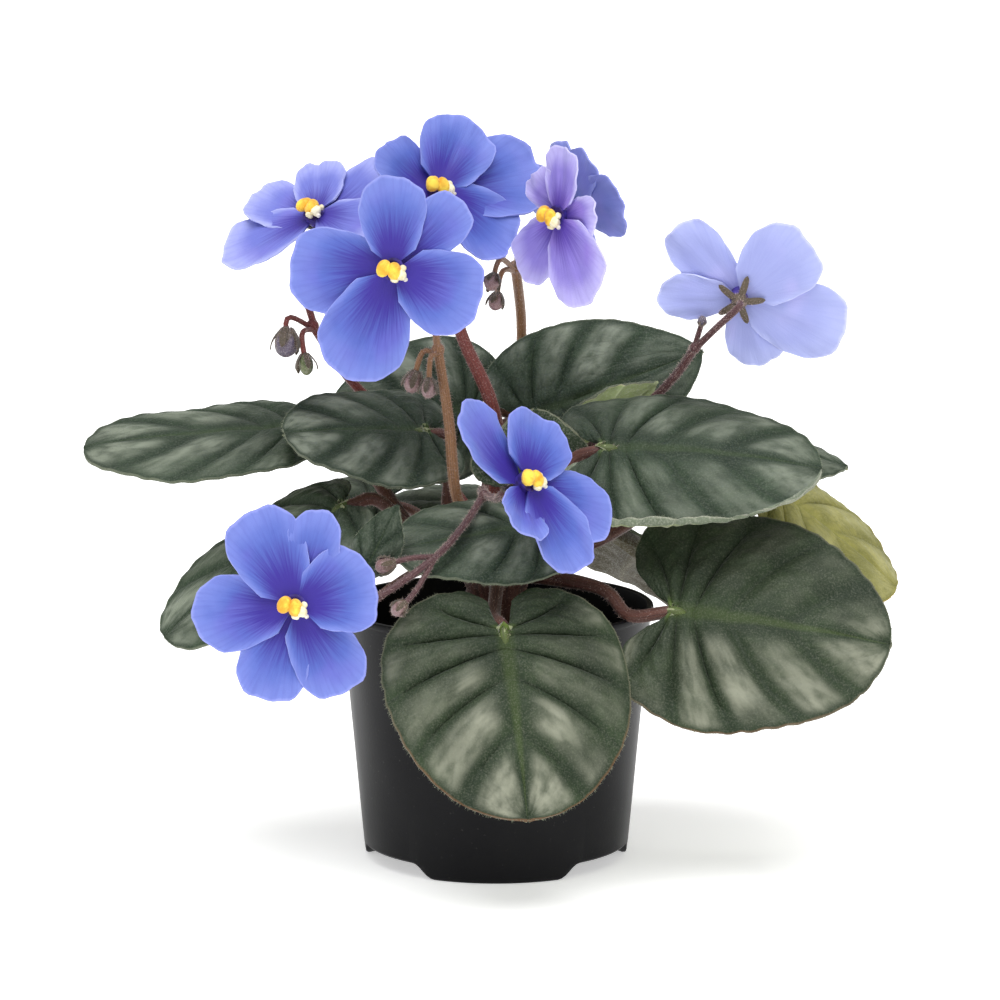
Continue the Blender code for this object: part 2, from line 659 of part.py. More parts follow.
def petal(name, angle, length, width, lift, level):
    """One petal of a bloom at its clock angle, on a layer of its own where it overlaps its neighbours."""
    root = PETAL_ROOT / MM
    points = []
    for share in PETAL_ROWS + (1.0,):
        slope = math.radians(lift) * min(1, 1.5 * share)
        out = root + (length - root) * share
        for column in PETAL_COLUMNS if share < 1 else (0.0,):
            y = column * petal_half_width(share, width)
            cupped = 0.04 * width * (column ** 2 - 0.35) * (1 - 0.4 * share)
            ruffle = 0.3 * math.sin(3.1 * column + 5 * share + angle) * share
            rise = cupped + ruffle
            points.append((out * math.cos(slope) - rise * math.sin(slope), y,
                           out * math.sin(slope) + rise * math.cos(slope)))
    triangles = []
    wide = len(PETAL_COLUMNS)
    for row in range(len(PETAL_ROWS) - 1):
        for column in range(wide - 1):
            a = row * wide + column
            b, c, d = a + 1, a + wide, a + wide + 1
            if column <= wide // 2 - 1:
                triangles += [(a, c, d), (a, d, b)]
            else:
                triangles += [(a, c, b), (b, c, d)]
    last = (len(PETAL_ROWS) - 1) * wide
    triangles += [(last + column, len(points) - 1, last + column + 1) for column in range(wide - 1)]
    turn = Matrix.Rotation(math.radians(90 - angle), 4, "Z")
    placed = [(turn @ Vector(point) + Vector((0, 0, level))) * MM for point in points]
    half = np.full(len(placed), PETAL_THICKNESS / 2)
    return sheet(name, placed, triangles, half, half)


def corolla(bloom):
    """The petals of a bloom, fused at their roots on the short tube behind the throat."""
    ends = [(0, 0, -THROAT_BACK), (0, 0, -THROAT_BACK * 0.4), (0, 0, THROAT_FRONT)]
    radii = [THROAT_RADIUS * 0.7, THROAT_RADIUS, THROAT_RADIUS * 0.9]
    pieces = [tube("throat", ends, radii, 8)]
    for order, (angle, length, width, lift) in enumerate(bloom.petals):
        pieces.append(petal(f"petal_{order}", angle, length, width, lift, PETAL_LEVELS[order]))
    flower = united("corolla_" + bloom.name, pieces, PETAL_FINISHES.get(bloom.name, "petal_blue"))
    place_bloom(flower, bloom)
    return flower


def anthers(bloom):
    """Two yellow lobes side by side in the throat."""
    lean = 0.9 * MM
    front = THROAT_FRONT + GAP
    lobes = []
    for side in (-1, 1):
        centre = (side * 1.35 * MM - lean, -side * 0.35 * MM, front + 1.9 * MM)
        lobes.append(ellipsoid(f"lobe_{side}", centre, (0.25, 1, 0.1 * side), 4.6 * MM, 1.75 * MM))
    pair = united("anthers_" + bloom.name, lobes, "anther_yellow")
    place_bloom(pair, bloom)
    return pair


def calyx(bloom):
    """The cup and five sepals behind a bloom, as pieces to be fused to its pedicel."""
    frame = bloom_frame(bloom)
    back = -THROAT_BACK / MM - GAP / MM
    cup_depth = 2.6
    ends = [frame @ Vector((0, 0, depth)) for depth in (back - cup_depth, back - 1, back)]
    pieces = [tube("cup", [end * MM for end in ends], [1.0 * MM, 1.9 * MM, 1.9 * MM], 6)]
    for number in range(5):
        turn = Matrix.Rotation(math.tau * (number + 0.5) / 5, 4, "Z")
        tip = Vector((SEPAL_LENGTH / MM, 0, back + 0.6))
        spots = [Vector((0.6, 0, back - 1.2)), Vector((3.4, 0, back - 1.0)), tip]
        spots = [frame @ turn @ spot * MM for spot in spots]
        pieces.append(tube("sepal", spots, [0.95 * MM, 0.9 * MM, 0.35 * MM], 3))
    return pieces


def stalk(spec):
    """A flower stalk with its pedicels, calyces and buds, fused."""
    blooms = {bloom.name: bloom for bloom in BLOOMS}
    route = spline(spec.route, 2 * len(spec.route))
    radii = np.linspace(spec.radius, spec.radius * 0.85, len(route)) * MM
    pieces = [tube(spec.name, route * MM, radii, STALK_SIDES)]
    fork = Vector(spec.route[-1])
    inside = fork - (fork - Vector(spec.route[-2])).normalized() * 1.5
    for name, between in spec.pedicels:
        bloom = blooms[name]
        back = -(THROAT_BACK + GAP) / MM - 2.2
        end = bloom_frame(bloom) @ Vector((0, 0, back))
        before = bloom_frame(bloom) @ Vector((0, 0, back - 4))
        way = spline((inside, *between, before, end), 4 + 2 * len(between))
        pieces.append(tube("pedicel", way * MM, np.linspace(0.95, 0.85, len(way)) * MM, STALK_SIDES))
        pieces += calyx(bloom)
    for tip, middle, size, *side in spec.buds:
        way = spline((side[0] if side else inside, middle, tip), 4)
        pieces.append(tube("bud_stem", way * MM, np.full(len(way), 0.7) * MM, 4))
        lean = Vector(tip) - Vector(middle)
        pieces.append(ellipsoid("bud", Vector(tip) * MM, lean, size * 2.6 * MM, size * MM))
    return united(spec.name, pieces, "stalk_" + spec.colour)


def main():
    clear_scene()
    pot()
    soil()
    crown()
    for leaf in LEAVES:
        leaf_blade(leaf)
    for spec in STALKS:
        stalk(spec)
    for bloom in BLOOMS:
        corolla(bloom)
        anthers(bloom)


main()
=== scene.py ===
"""Potted African violet: fine leaves, blooms, stalks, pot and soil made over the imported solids.

Tables are in millimetres and degrees, as in the part's source. Meshes are in metres.
"""

import math
from typing import NamedTuple

import bmesh
import bpy
import numpy as np
from mathutils import Matrix, Vector, noise


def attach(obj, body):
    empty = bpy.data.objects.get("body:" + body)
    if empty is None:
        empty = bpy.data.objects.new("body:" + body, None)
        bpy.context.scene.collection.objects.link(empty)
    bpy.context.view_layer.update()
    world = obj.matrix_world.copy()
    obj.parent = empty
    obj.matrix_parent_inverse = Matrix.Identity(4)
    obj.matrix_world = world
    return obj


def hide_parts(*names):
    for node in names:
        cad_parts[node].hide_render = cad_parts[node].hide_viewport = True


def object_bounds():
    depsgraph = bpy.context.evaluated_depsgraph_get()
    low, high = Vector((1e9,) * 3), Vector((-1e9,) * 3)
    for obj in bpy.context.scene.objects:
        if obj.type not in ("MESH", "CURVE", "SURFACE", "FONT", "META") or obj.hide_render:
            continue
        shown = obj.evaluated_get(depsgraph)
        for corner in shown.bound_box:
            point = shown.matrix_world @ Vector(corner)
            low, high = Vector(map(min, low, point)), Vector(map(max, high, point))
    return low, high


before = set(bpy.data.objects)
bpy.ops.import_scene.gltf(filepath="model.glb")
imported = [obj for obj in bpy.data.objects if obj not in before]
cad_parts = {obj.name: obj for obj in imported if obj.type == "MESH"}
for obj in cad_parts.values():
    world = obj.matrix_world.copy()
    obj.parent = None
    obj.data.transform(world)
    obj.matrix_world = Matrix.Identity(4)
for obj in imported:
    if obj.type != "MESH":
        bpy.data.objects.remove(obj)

CAD_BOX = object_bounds()
MM = 0.001
TAU = math.tau
LOW = np.array(CAD_BOX[0], float)
HIGH = np.array(CAD_BOX[1], float)


# ---------------------------------------------------------------- measures

POT_HEIGHT, RIM_RADIUS, BASE_RADIUS, POT_WALL = 66, 40, 33.8, 1.2
LIP_BEAD, LIP_HEIGHT = 0.5, 1.8
FOOT_HEIGHT, FOOT_INNER_RADIUS = 3.7, 28
FLOOR_UNDERSIDE, FLOOR_TOP = 4.4, 5.9
FEET, ARCH_HALF_FOOT, ARCH_HALF_TOP = 3, 17.4, 12.1
DRAIN_HOLES, DRAIN_RADIUS, DRAIN_CIRCLE = 6, 3.2, 18
SOIL_EDGE, SOIL_MOUND, SOCKET_FLOOR = 49, 2.5, 43
TRUNK_FOOT_RADIUS, CROWN_RADIUS, CROWN_TOP = 6, 9, 92
GAP = 0.3
RIB_HALF_WIDTH, RIB_DEPTH = 2.0, 2.3
PETIOLE_RADIUS, PETIOLE_ROOT_RADIUS = 1.75, 2.5
BLADE_THICKNESS, PETAL_THICKNESS = 0.7, 0.45
PETAL_ROOT, THROAT_BACK, THROAT_RADIUS = 1.2, 3.2, 2.6
PETAL_LEVELS = (0.2, -1.0, 0.33, -0.87, -2.1, -1.13)


class Leaf(NamedTuple):
    """A leaf by the notch that its petiole meets and the way its midrib points."""

    name: str
    base: tuple
    heading: float
    pitch: float
    roll: float
    length: float
    width: float
    bend: float
    root: float
    form: str = "heart"
    cup: float = 3.0
    wave: float = 1.0
    arrive: float = 25
    veins: int = 6
    via: tuple = ()


LEAVES = (
    Leaf("leaf_front", (2, -47.2, 68.4), -77, -52, 0, 50, 62.5, 14, 75, "closed", cup=5, arrive=46),
    Leaf("leaf_right_low", (44.5, -27, 69.5), -8, -4, 48, 56, 61, 14, 75, "round", cup=4, arrive=18,
         via=(26, -15, 73)),
    Leaf("leaf_right_high", (27.5, -8, 108), -6, 2, 32, 56, 50, 18, 84, "round", cup=5, via=(13, -7, 95)),
    Leaf("leaf_left_long", (-50, 13, 110), 178, -3, -17, 57, 42, 6, 80, "oval", veins=5),
    Leaf("leaf_left_mid", (-18, 4, 110.5), -160, 6, -28, 38, 40, 10, 84, "round", veins=5),
    Leaf("leaf_left_low", (-39, -7, 93), -166, -26, -20, 57, 40, 20, 76, "oval", veins=5),
    Leaf("leaf_young_left", (-33, -42, 82), 20, 62, 50, 19, 13, 0, 79, "young", cup=1, veins=4,
         via=(-20, -24, 79)),
    Leaf("leaf_centre", (12, -24.5, 91), -160, -2, -28, 41, 34, 10, 79, "round", veins=5),
    Leaf("leaf_back_right", (8, 26, 110), 10, 20, 68, 50, 42, 8, 86, veins=5, via=(-2, 17, 93)),
    Leaf("leaf_fold_right", (18, 19.5, 103.5), 10, 37, -70, 29, 18, 10, 83, "young", cup=1.5, veins=4,
         via=(13, 12, 90)),
    Leaf("leaf_right_small", (52, 37, 102), 4, 0, 20, 42, 34, 24, 78, veins=5, via=(24, 18, 82)),
    Leaf("leaf_right_back", (72, 10, 94), 4, -34, 30, 42, 34, 14, 78, "oval", veins=5),
    Leaf("leaf_young_centre", (8, -0.5, 96.5), -75, 78, 0, 23, 32, 14, 88, "young", cup=2, veins=4),
    Leaf("leaf_back_left", (-6, 34, 110.5), 172, 4, -68, 38, 40, 8, 84, veins=5, via=(-2, 24, 91)),
    Leaf("leaf_rear_left", (-30, 27, 88), 165, -5, -24, 34, 36, 14, 77, veins=4),
    Leaf("leaf_rear_middle", (-9, 33, 84.5), 94, 15, 0, 43, 39.5, 40, 77, veins=4),
    Leaf("leaf_rear_right", (28, 31, 80.5), 46, -32, 0, 45, 44, 14, 74, veins=4),
)
LEAF_SLOTS = {"leaf_right_back": "yellowing_leaf", "leaf_young_centre": "young_leaf_green"}

# Half outlines from notch to tip: share of the length, share of the half width
LEAF_FORMS = {
    "heart": ((-0.07, 0.16), (-0.15, 0.42), (-0.10, 0.74), (0.12, 0.97), (0.38, 0.97),
              (0.62, 0.78), (0.83, 0.46), (0.95, 0.20)),
    "round": ((-0.10, 0.17), (-0.20, 0.41), (-0.16, 0.78), (0.09, 1.00), (0.38, 1.00),
              (0.66, 0.84), (0.87, 0.56), (0.97, 0.26)),
    "closed": ((-0.09, 0.085), (-0.18, 0.12), (-0.235, 0.30), (-0.20, 0.62), (-0.03, 0.93),
               (0.28, 1.00), (0.60, 0.88), (0.85, 0.58), (0.97, 0.26)),
    "oval": ((-0.05, 0.18), (-0.09, 0.42), (-0.03, 0.72), (0.18, 0.96), (0.46, 1.00),
             (0.73, 0.86), (0.92, 0.56), (0.99, 0.25)),
    "young": ((-0.01, 0.25), (0.04, 0.55), (0.16, 0.86), (0.34, 1.00), (0.54, 0.90),
              (0.74, 0.62), (0.90, 0.30)),
}


# Margins that roll up: the side of the blade, and the radius of the roll
CURLED = {"leaf_right_high": (-1, 1.8)}
ROLLED_FROM = 0.80
# Blades that reach a little further on one side: the side, and how many times as wide
WIDER = {"leaf_right_low": (1, 1.07), "leaf_right_high": (-1, 1.14), "leaf_rear_right": (1, 1.2)}


class Bloom(NamedTuple):
    """A bloom by the middle of its throat and the way it faces; petals by clock angle, length, width, lift."""

    name: str
    centre: tuple
    azimuth: float
    rise: float
    petals: tuple


BLOOMS = (
    Bloom("front", (-25.7, -32, 157.3), 0, 4,
          ((0, 23.5, 15.5, 6), (46, 25, 13, 8), (114, 23.5, 20, 0), (203, 29.5, 20.5, 2),
           (268, 26, 20, -2))),
    Bloom("low_left", (-49.5, -62, 77.8), -6, 8,
          ((-26, 26, 18, 4), (16, 25, 12.5, 8), (71, 21, 20, 2), (148, 25, 16.5, -2), (200, 25, 16.5, 2),
           (262, 26, 17.5, -2))),
    Bloom("right", (62.2, 1, 145.6), 176, 8,
          ((44, 24.5, 13, 6), (91, 21, 11, 4), (202, 19, 15, 0), (251, 28.5, 18.5, 0), (313, 23.5, 19, 0))),
    Bloom("top_left", (-46, -2, 167), -30, 52,
          ((344, 17, 13, 8), (42, 23, 15, 8), (98, 20, 16, -2), (239, 26.5, 17, -6), (284, 22.5, 14, 4))),
    Bloom("top", (-14.9, -6, 173.8), 24, 34,
          ((34, 22, 18, 6), (80, 31, 21.5, 0), (132, 24, 18, -6), (222, 22, 17, -4), (317, 18, 14, 6))),
    Bloom("centre", (7.7, -46, 106), 46, 26,
          ((38, 19, 19, 4), (120, 28, 17, 2), (160, 26, 18, 0), (214, 17, 13, 12), (322, 27, 14, 10))),
    Bloom("top_right", (15.5, -17.5, 168.5), -48, 8,
          ((6, 18, 11, 6), (92, 14, 12, 4), (142, 25, 17.5, 0), (218, 20, 15, 0), (318, 14, 10, 16))),
    Bloom("top_rear", (21, 13, 168), 128, 16,
          ((24, 17, 11, 6), (86, 20, 16, 0), (150, 22, 17, 0), (274, 20, 16, 0), (330, 17, 11, 6))),
)
PETAL_SLOTS = {"right": "petal_pale", "top_right": "petal_violet"}


class Stalk(NamedTuple):
    """A flower stalk: its route from the crown, a pedicel for each bloom and a stem for each bud."""

    name: str
    route: tuple
    radius: float
    pedicels: tuple
    buds: tuple
    colour: str


STALKS = (
    Stalk("stalk_middle", ((-4.9, -5.5, 88.5), (-10, -11.5, 96), (-12, -13, 116), (-14.7, -13, 134)), 1.5,
          (("front", ((-17, -15, 146),)),),
          (((-21, -14, 126), (-18.5, -13, 133.5), 2.3), ((-17, -18, 125), (-16.5, -16, 132.5), 2.0)), "tan"),
    Stalk("stalk_red", ((-1, 2, 92.8), (1, 3, 104), (-1.5, 0, 119), (-9, -3, 137), (-12, -1, 152)), 1.8,
          (("top", ((-13.5, 2, 164),)),), (), "red"),
    Stalk("stalk_rear", ((2, 9.5, 87), (9, 22, 88), (10, 35, 100), (7, 41, 118), (6.5, 39, 135),
                         (5, 24, 150)), 1.5,
          (("top_right", ((8, 4, 161),)), ("top_rear", ((9, 14, 162),))),
          (((-1, 3, 149), (1, 9, 154), 2.0), ((0, 10, 143), (1.5, 14, 150), 1.9)), "tan"),
    Stalk("stalk_left", ((-7.5, 6.5, 90), (-18, 19, 101), (-32, 24, 114), (-40, 19, 124),
                         (-47, 8, 137)), 1.4,
          (("top_left", ((-50, 5, 152),)),),
          (((-53.5, -1, 134), (-53, 2, 140), 3.0), ((-48.5, -2, 128.5), (-49.5, 1, 136), 2.2)), "red"),
    Stalk("stalk_right", ((8.5, 3, 90), (20, 13, 101), (38, 18.5, 114), (46, 13, 123), (51, 4, 132)), 1.3,
          (("right", ((56, -3, 138),)),),
          (((52.5, -1, 139.5), (52, 1, 137), 1.2),), "dark"),
    Stalk("stalk_front", ((-2, -4.9, 92.0), (-3.5, -12, 97.5), (-3, -21, 98)), 1.3,
          (("centre", ((0, -31, 99),)),
           ("low_left", ((-8, -32, 92.5), (-15, -43, 86.5), (-28, -53, 79), (-38, -56, 76)))),
          (((-27.5, -47, 85), (-21.5, -45.5, 86.5), 2.0, (-15, -43, 86.5)),
           ((-24, -51, 75), (-20, -49.5, 79), 1.8, (-15, -43, 86.5))), "dark"),
)


# ---------------------------------------------------------------- camera

ELEVATION = math.radians(10.3)
CAMERA_TARGET = Vector((0.001, 0, 0.093))
CAMERA_DISTANCE = 1.5


def set_camera():
    lens = bpy.data.cameras.new("camera")
    lens.sensor_width = 36
    lens.lens = 36 * 5.85
    lens.clip_start = 0.05
    lens.clip_end = 60
    camera = bpy.data.objects.new("camera", lens)
    bpy.context.scene.collection.objects.link(camera)
    forward = Vector((0, math.cos(ELEVATION), -math.sin(ELEVATION)))
    camera.location = CAMERA_TARGET - forward * CAMERA_DISTANCE
    camera.rotation_euler = forward.to_track_quat("-Z", "Y").to_euler()
    bpy.context.scene.camera = camera


# ---------------------------------------------------------------- materials

class Paint:
    """The nodes of a material or group, placed and wired one after another."""

    def __init__(self, tree):
        self.tree = tree
        self.placed = 0

    def node(self, kind, **settings):
        made = self.tree.nodes.new(kind)
        made.location = (self.placed % 12 * 180 - 1800, -(self.placed // 12) * 240)
        self.placed += 1
        for name, value in settings.items():
            setattr(made, name, value)
        return made

    def wire(self, source, socket):
        if isinstance(source, bpy.types.NodeSocket):
            self.tree.links.new(source, socket)
        elif source is not None:
            if isinstance(source, tuple) and len(source) == 3 and socket.type == "RGBA":
                source = (*source, 1)
            socket.default_value = source

    def maths(self, operation, first, second=None, third=None, clamp=False):
        made = self.node("ShaderNodeMath", operation=operation, use_clamp=clamp)
        for value, socket in zip((first, second, third), made.inputs):
            self.wire(value, socket)
        return made.outputs[0]

    def step(self, value, low, high, start=0.0, end=1.0):
        """A smooth step of the value between low and high."""
        made = self.node("ShaderNodeMapRange", interpolation_type="SMOOTHSTEP")
        for given, socket in zip((value, low, high, start, end), made.inputs):
            self.wire(given, socket)
        return made.outputs[0]

    def mix(self, share, first, second, way="MIX"):
        made = self.node("ShaderNodeMix", data_type="RGBA", blend_type=way)
        self.wire(share, made.inputs[0])
        self.wire(first, made.inputs[6])
        self.wire(second, made.inputs[7])
        return made.outputs[2]

    def noise(self, vector, scale, detail=3.0, roughness=0.5, warp=0.0):
        made = self.node("ShaderNodeTexNoise")
        self.wire(vector, made.inputs["Vector"])
        self.wire(scale, made.inputs["Scale"])
        self.wire(detail, made.inputs["Detail"])
        self.wire(roughness, made.inputs["Roughness"])
        self.wire(warp, made.inputs["Distortion"])
        return made.outputs["Fac"]

    def scaled(self, vector, scale, place=(0, 0, 0)):
        made = self.node("ShaderNodeMapping")
        self.wire(vector, made.inputs["Vector"])
        made.inputs["Scale"].default_value = scale
        made.inputs["Location"].default_value = place
        return made.outputs[0]

    def group(self, name, **values):
        made = self.node("ShaderNodeGroup", node_tree=GROUPS[name])
        for key, value in values.items():
            self.wire(value, made.inputs[key.replace("_", " ")])
        return made


GROUPS = {}


def new_group(name, inputs, outputs):
    """A node group with named sockets, and the paint that fills it."""
    tree = bpy.data.node_groups.new(name, "ShaderNodeTree")
    for label, kind, value in inputs:
        socket = tree.interface.new_socket(label, in_out="INPUT", socket_type="NodeSocket" + kind)
        if value is not None:
            socket.default_value = value
    for label, kind in outputs:
        tree.interface.new_socket(label, in_out="OUTPUT", socket_type="NodeSocket" + kind)
    GROUPS[name] = tree
    paint = Paint(tree)
    return paint, paint.node("NodeGroupInput").outputs, paint.node("NodeGroupOutput").inputs


def make_leaf_pattern():
    """Masks of a blade from its vein map: across is -1 to 1, along counts the side veins."""
    paint, given, made = new_group(
        "leaf_pattern",
        (("Map", "Vector", None),),
        (("Vein", "Float"), ("Pillow", "Float"), ("Rib", "Float"), ("Notch", "Float"), ("Rim", "Float"),
         ("Net", "Float"), ("Streak", "Float")))
    split = paint.node("ShaderNodeSeparateXYZ")
    paint.wire(given["Map"], split.inputs[0])
    share = paint.maths("ABSOLUTE", split.outputs[0])
    along = split.outputs[1]
    phase = paint.maths("ABSOLUTE", paint.maths("SINE", paint.maths("MULTIPLY", along, math.pi)))
    thin = paint.step(share, 0.0, 1.0, 0.30, 0.16)
    vein = paint.maths("SUBTRACT", 1.0, paint.step(phase, 0.02, thin))
    vein = paint.maths("MULTIPLY", vein, paint.step(share, 0.90, 1.0, 1.0, 0.25))
    rib = paint.maths("SUBTRACT", 1.0, paint.step(share, 0.008, 0.05))
    down = paint.step(along, 0.8, 2.6, 1.0, 0.0)
    notch = paint.maths("MULTIPLY", paint.step(share, 0.0, 0.16, 1.0, 0.0), paint.step(along, 0.2, 1.7, 1.0, 0.0))
    line = paint.maths("MULTIPLY", paint.step(share, 0.005, 0.06, 0.4, 0.0), down)
    wander = paint.noise(given["Map"], 2.2, 2.0)
    rim_edge = paint.maths("ADD", 0.955, paint.maths("MULTIPLY", wander, 0.03))
    paint.wire(vein, made["Vein"])
    paint.wire(phase, made["Pillow"])
    paint.wire(rib, made["Rib"])
    paint.wire(paint.maths("MAXIMUM", notch, line), made["Notch"])
    clear = paint.step(along, 0.30, 1.0)
    paint.wire(paint.maths("MULTIPLY", paint.step(share, rim_edge, 0.998), clear), made["Rim"])
    cells = paint.node("ShaderNodeTexVoronoi", feature="DISTANCE_TO_EDGE")
    paint.wire(paint.scaled(given["Map"], (9, 3.2, 1)), cells.inputs["Vector"])
    cells.inputs["Scale"].default_value = 1.0
    paint.wire(paint.step(cells.outputs["Distance"], 0.02, 0.20), made["Net"])
    # Painted sheen: pale bands on the pillow crests between the side veins, stronger toward the tip and margin, stand
    # in for light caught by the velvet pillows.
    painted_sheen = paint.noise(paint.scaled(given["Map"], (2.2, 2.4, 1)), 1.8, 2.5, 0.5)
    painted_sheen = paint.step(painted_sheen, 0.26, 0.70, 0.30, 1.0)
    body = paint.maths("MULTIPLY", paint.step(phase, 0.25, 0.98),
                       paint.maths("MULTIPLY", paint.step(share, 0.06, 0.26), paint.step(share, 0.99, 0.86)))
    outer = paint.maths("MAXIMUM", paint.step(along, 1.2, 3.6, 0.12, 1.0), paint.step(share, 0.50, 0.95, 0.12, 1.0))
    paint.wire(paint.maths("MULTIPLY", paint.maths("MULTIPLY", body, outer), painted_sheen), made["Streak"])


def make_fuzz():
    """Short down seen as fine light specks, for leaves, petioles, stalks and buds."""
    paint, given, made = new_group(
        "down",
        (("Place", "Vector", None), ("Scale", "Float", 2400.0), ("Colour", "Color", (0, 0, 0, 1)),
         ("Down", "Color", (1, 1, 1, 1)), ("Amount", "Float", 0.3)),
        (("Colour", "Color"), ("Height", "Float")))
    specks = paint.noise(given["Place"], given["Scale"], 2.0, 0.7)
    patches = paint.noise(given["Place"], 190.0, 2.0)
    mask = paint.maths("MULTIPLY", paint.step(specks, 0.40, 0.86), paint.step(patches, 0.25, 0.75, 0.55, 1.0))
    paint.wire(paint.mix(paint.maths("MULTIPLY", mask, given["Amount"]), given["Colour"], given["Down"]),
               made["Colour"])
    paint.wire(specks, made["Height"])


def make_mottle():
    """Two colours mixed in soft patches."""
    paint, given, made = new_group(
        "mottle",
        (("Place", "Vector", None), ("Scale", "Float", 60.0), ("First", "Color", (0, 0, 0, 1)),
         ("Second", "Color", (1, 1, 1, 1)), ("Edge", "Float", 0.25)),
        (("Colour", "Color"), ("Mask", "Float")))
    cloud = paint.noise(given["Place"], given["Scale"], 4.0, 0.55, 0.3)
    mask = paint.step(cloud, paint.maths("SUBTRACT", 0.5, given["Edge"]), paint.maths("ADD", 0.5, given["Edge"]))
    paint.wire(paint.mix(mask, given["First"], given["Second"]), made["Colour"])
    paint.wire(mask, made["Mask"])


def make_petal_skin():
    """A petal's colour from its own map: across is -1 to 1, along is root to edge."""
    paint, given, made = new_group(
        "petal_skin",
        (("Map", "Vector", None), ("Place", "Vector", None), ("Body", "Color", None), ("Deep", "Color", None),
         ("Edge", "Color", None), ("Frill", "Color", None), ("Blush", "Color", None), ("Throat", "Float", 0.34)),
        (("Colour", "Color"), ("Height", "Float")))
    split = paint.node("ShaderNodeSeparateXYZ")
    paint.wire(given["Map"], split.inputs[0])
    along = split.outputs[1]
    veins = paint.noise(paint.scaled(given["Map"], (22, 1.6, 1)), 1.0, 3.0, 0.6)
    fine = paint.noise(paint.scaled(given["Map"], (64, 5, 1)), 1.0, 2.0, 0.6)
    cloud = paint.noise(given["Place"], 160.0, 3.0, 0.55)
    reach = paint.maths("ADD", given["Throat"], paint.maths("MULTIPLY", paint.maths("SUBTRACT", veins, 0.5), 0.55))
    throat = paint.step(along, paint.maths("SUBTRACT", reach, 0.52), reach, 1.0, 0.0)
    edge = paint.step(paint.maths("ADD", along, paint.maths("MULTIPLY", cloud, 0.25)), 0.72, 1.12)
    warm = paint.step(paint.noise(given["Place"], 70.0, 2.0), 0.46, 0.66, 0.0, 0.45)
    base = paint.mix(warm, given["Body"], given["Blush"])
    base = paint.mix(edge, base, given["Edge"])
    shade = paint.maths("MULTIPLY", paint.step(veins, 0.42, 0.66), 0.11)
    base = paint.mix(shade, base, given["Deep"])
    base = paint.mix(throat, base, given["Deep"])
    frill = paint.step(along, paint.maths("ADD", 0.925, paint.maths("MULTIPLY", veins, 0.06)), 1.0, 0.0, 0.55)
    paint.wire(paint.mix(frill, base, given["Frill"]), made["Colour"])
    paint.wire(paint.maths("ADD", paint.maths("MULTIPLY", veins, 0.7), paint.maths("MULTIPLY", fine, 0.3)),
               made["Height"])


def new_material(name, roughness, **values):
    """A material with its shader's uniform values set on the shader, and the paint for the rest."""
    material = bpy.data.materials.new(name)
    material.use_nodes = True
    tree = material.node_tree
    shader = tree.nodes["Principled BSDF"]
    shader.inputs["Roughness"].default_value = roughness
    for label, value in values.items():
        shader.inputs[label.replace("_", " ")].default_value = value
    return material, Paint(tree), shader


def bump(paint, shader, height, strength, distance):
    made = paint.node("ShaderNodeBump")
    made.inputs["Strength"].default_value = strength
    made.inputs["Distance"].default_value = distance
    paint.wire(height, made.inputs["Height"])
    paint.wire(made.outputs[0], shader.inputs["Normal"])


def places(paint, layer=None):
    """Object coordinates, and the piece's own map where it has one."""
    place = paint.node("ShaderNodeTexCoord").outputs["Object"]
    if layer is None:
        return place
    return place, paint.node("ShaderNodeUVMap", uv_map=layer).outputs[0]


def leaf_top(name, dark, green, sheen_and_down, lime, rim, amount, line=0.25, sheen_low_on_plant=False):
    material, paint, shader = new_material(name, 0.62, Sheen_Weight=0.18, Sheen_Roughness=0.35,
                                           Sheen_Tint=(0.86, 0.90, 0.82, 1), Specular_IOR_Level=0.24)
    place, charted = places(paint, "map")
    pattern = paint.group("leaf_pattern", Map=charted)
    body = paint.group("mottle", Place=place, Scale=75.0, First=dark, Second=green).outputs["Colour"]
    # Painted shade: darker along the creases of the quilted net.
    crease_shade = paint.maths("MULTIPLY", paint.maths("SUBTRACT", 1.0, pattern.outputs["Net"]), 0.35)
    body = paint.mix(crease_shade, body, dark)
    # Painted sheen: the pattern's sheen bands, scaled by the amount and broken into broad patches, lighten the leaf
    # toward its pale sheen colour. With the last flag set they fade above 62 mm of height. The same pale colour also
    # tints the down specks.
    sheen_patches = paint.step(paint.noise(place, 34.0, 1.0), 0.36, 0.60, 0.25, 1.0)
    height = paint.node("ShaderNodeSeparateXYZ")
    paint.wire(place, height.inputs[0])
    painted_sheen_share = paint.maths("MULTIPLY", paint.maths("MULTIPLY", pattern.outputs["Streak"], amount), sheen_patches)
    if sheen_low_on_plant:
        painted_sheen_share = paint.maths("MULTIPLY", painted_sheen_share, paint.step(height.outputs[2], 0.062, 0.080, 1.0, 0.2))
    body = paint.mix(painted_sheen_share, body, sheen_and_down)
    olive = tuple(0.5 * a + 0.5 * b for a, b in zip(dark, lime))
    # Painted shade: darker along the sunken side veins.
    body = paint.mix(paint.maths("MULTIPLY", pattern.outputs["Vein"], 0.5), body, dark)
    body = paint.mix(paint.maths("MULTIPLY", pattern.outputs["Rib"], line), body, olive)
    body = paint.mix(pattern.outputs["Notch"], body, lime)
    old = paint.step(height.outputs[2], 0.036, 0.058, 1.0, 0.0)
    edge = paint.mix(old, rim, (0.24, 0.10, 0.045))
    body = paint.mix(paint.maths("MULTIPLY", pattern.outputs["Rim"], 0.42), body, edge)
    fuzz = paint.group("down", Place=place, Scale=2100.0, Colour=body, Down=sheen_and_down, Amount=0.30)
    paint.wire(fuzz.outputs["Colour"], shader.inputs["Base Color"])
    relief = paint.maths("ADD", paint.maths("MULTIPLY", fuzz.outputs["Height"], 0.45),
                         paint.maths("MULTIPLY", pattern.outputs["Net"], 0.35))
    bump(paint, shader, relief, 0.55, 0.00035)
    return material


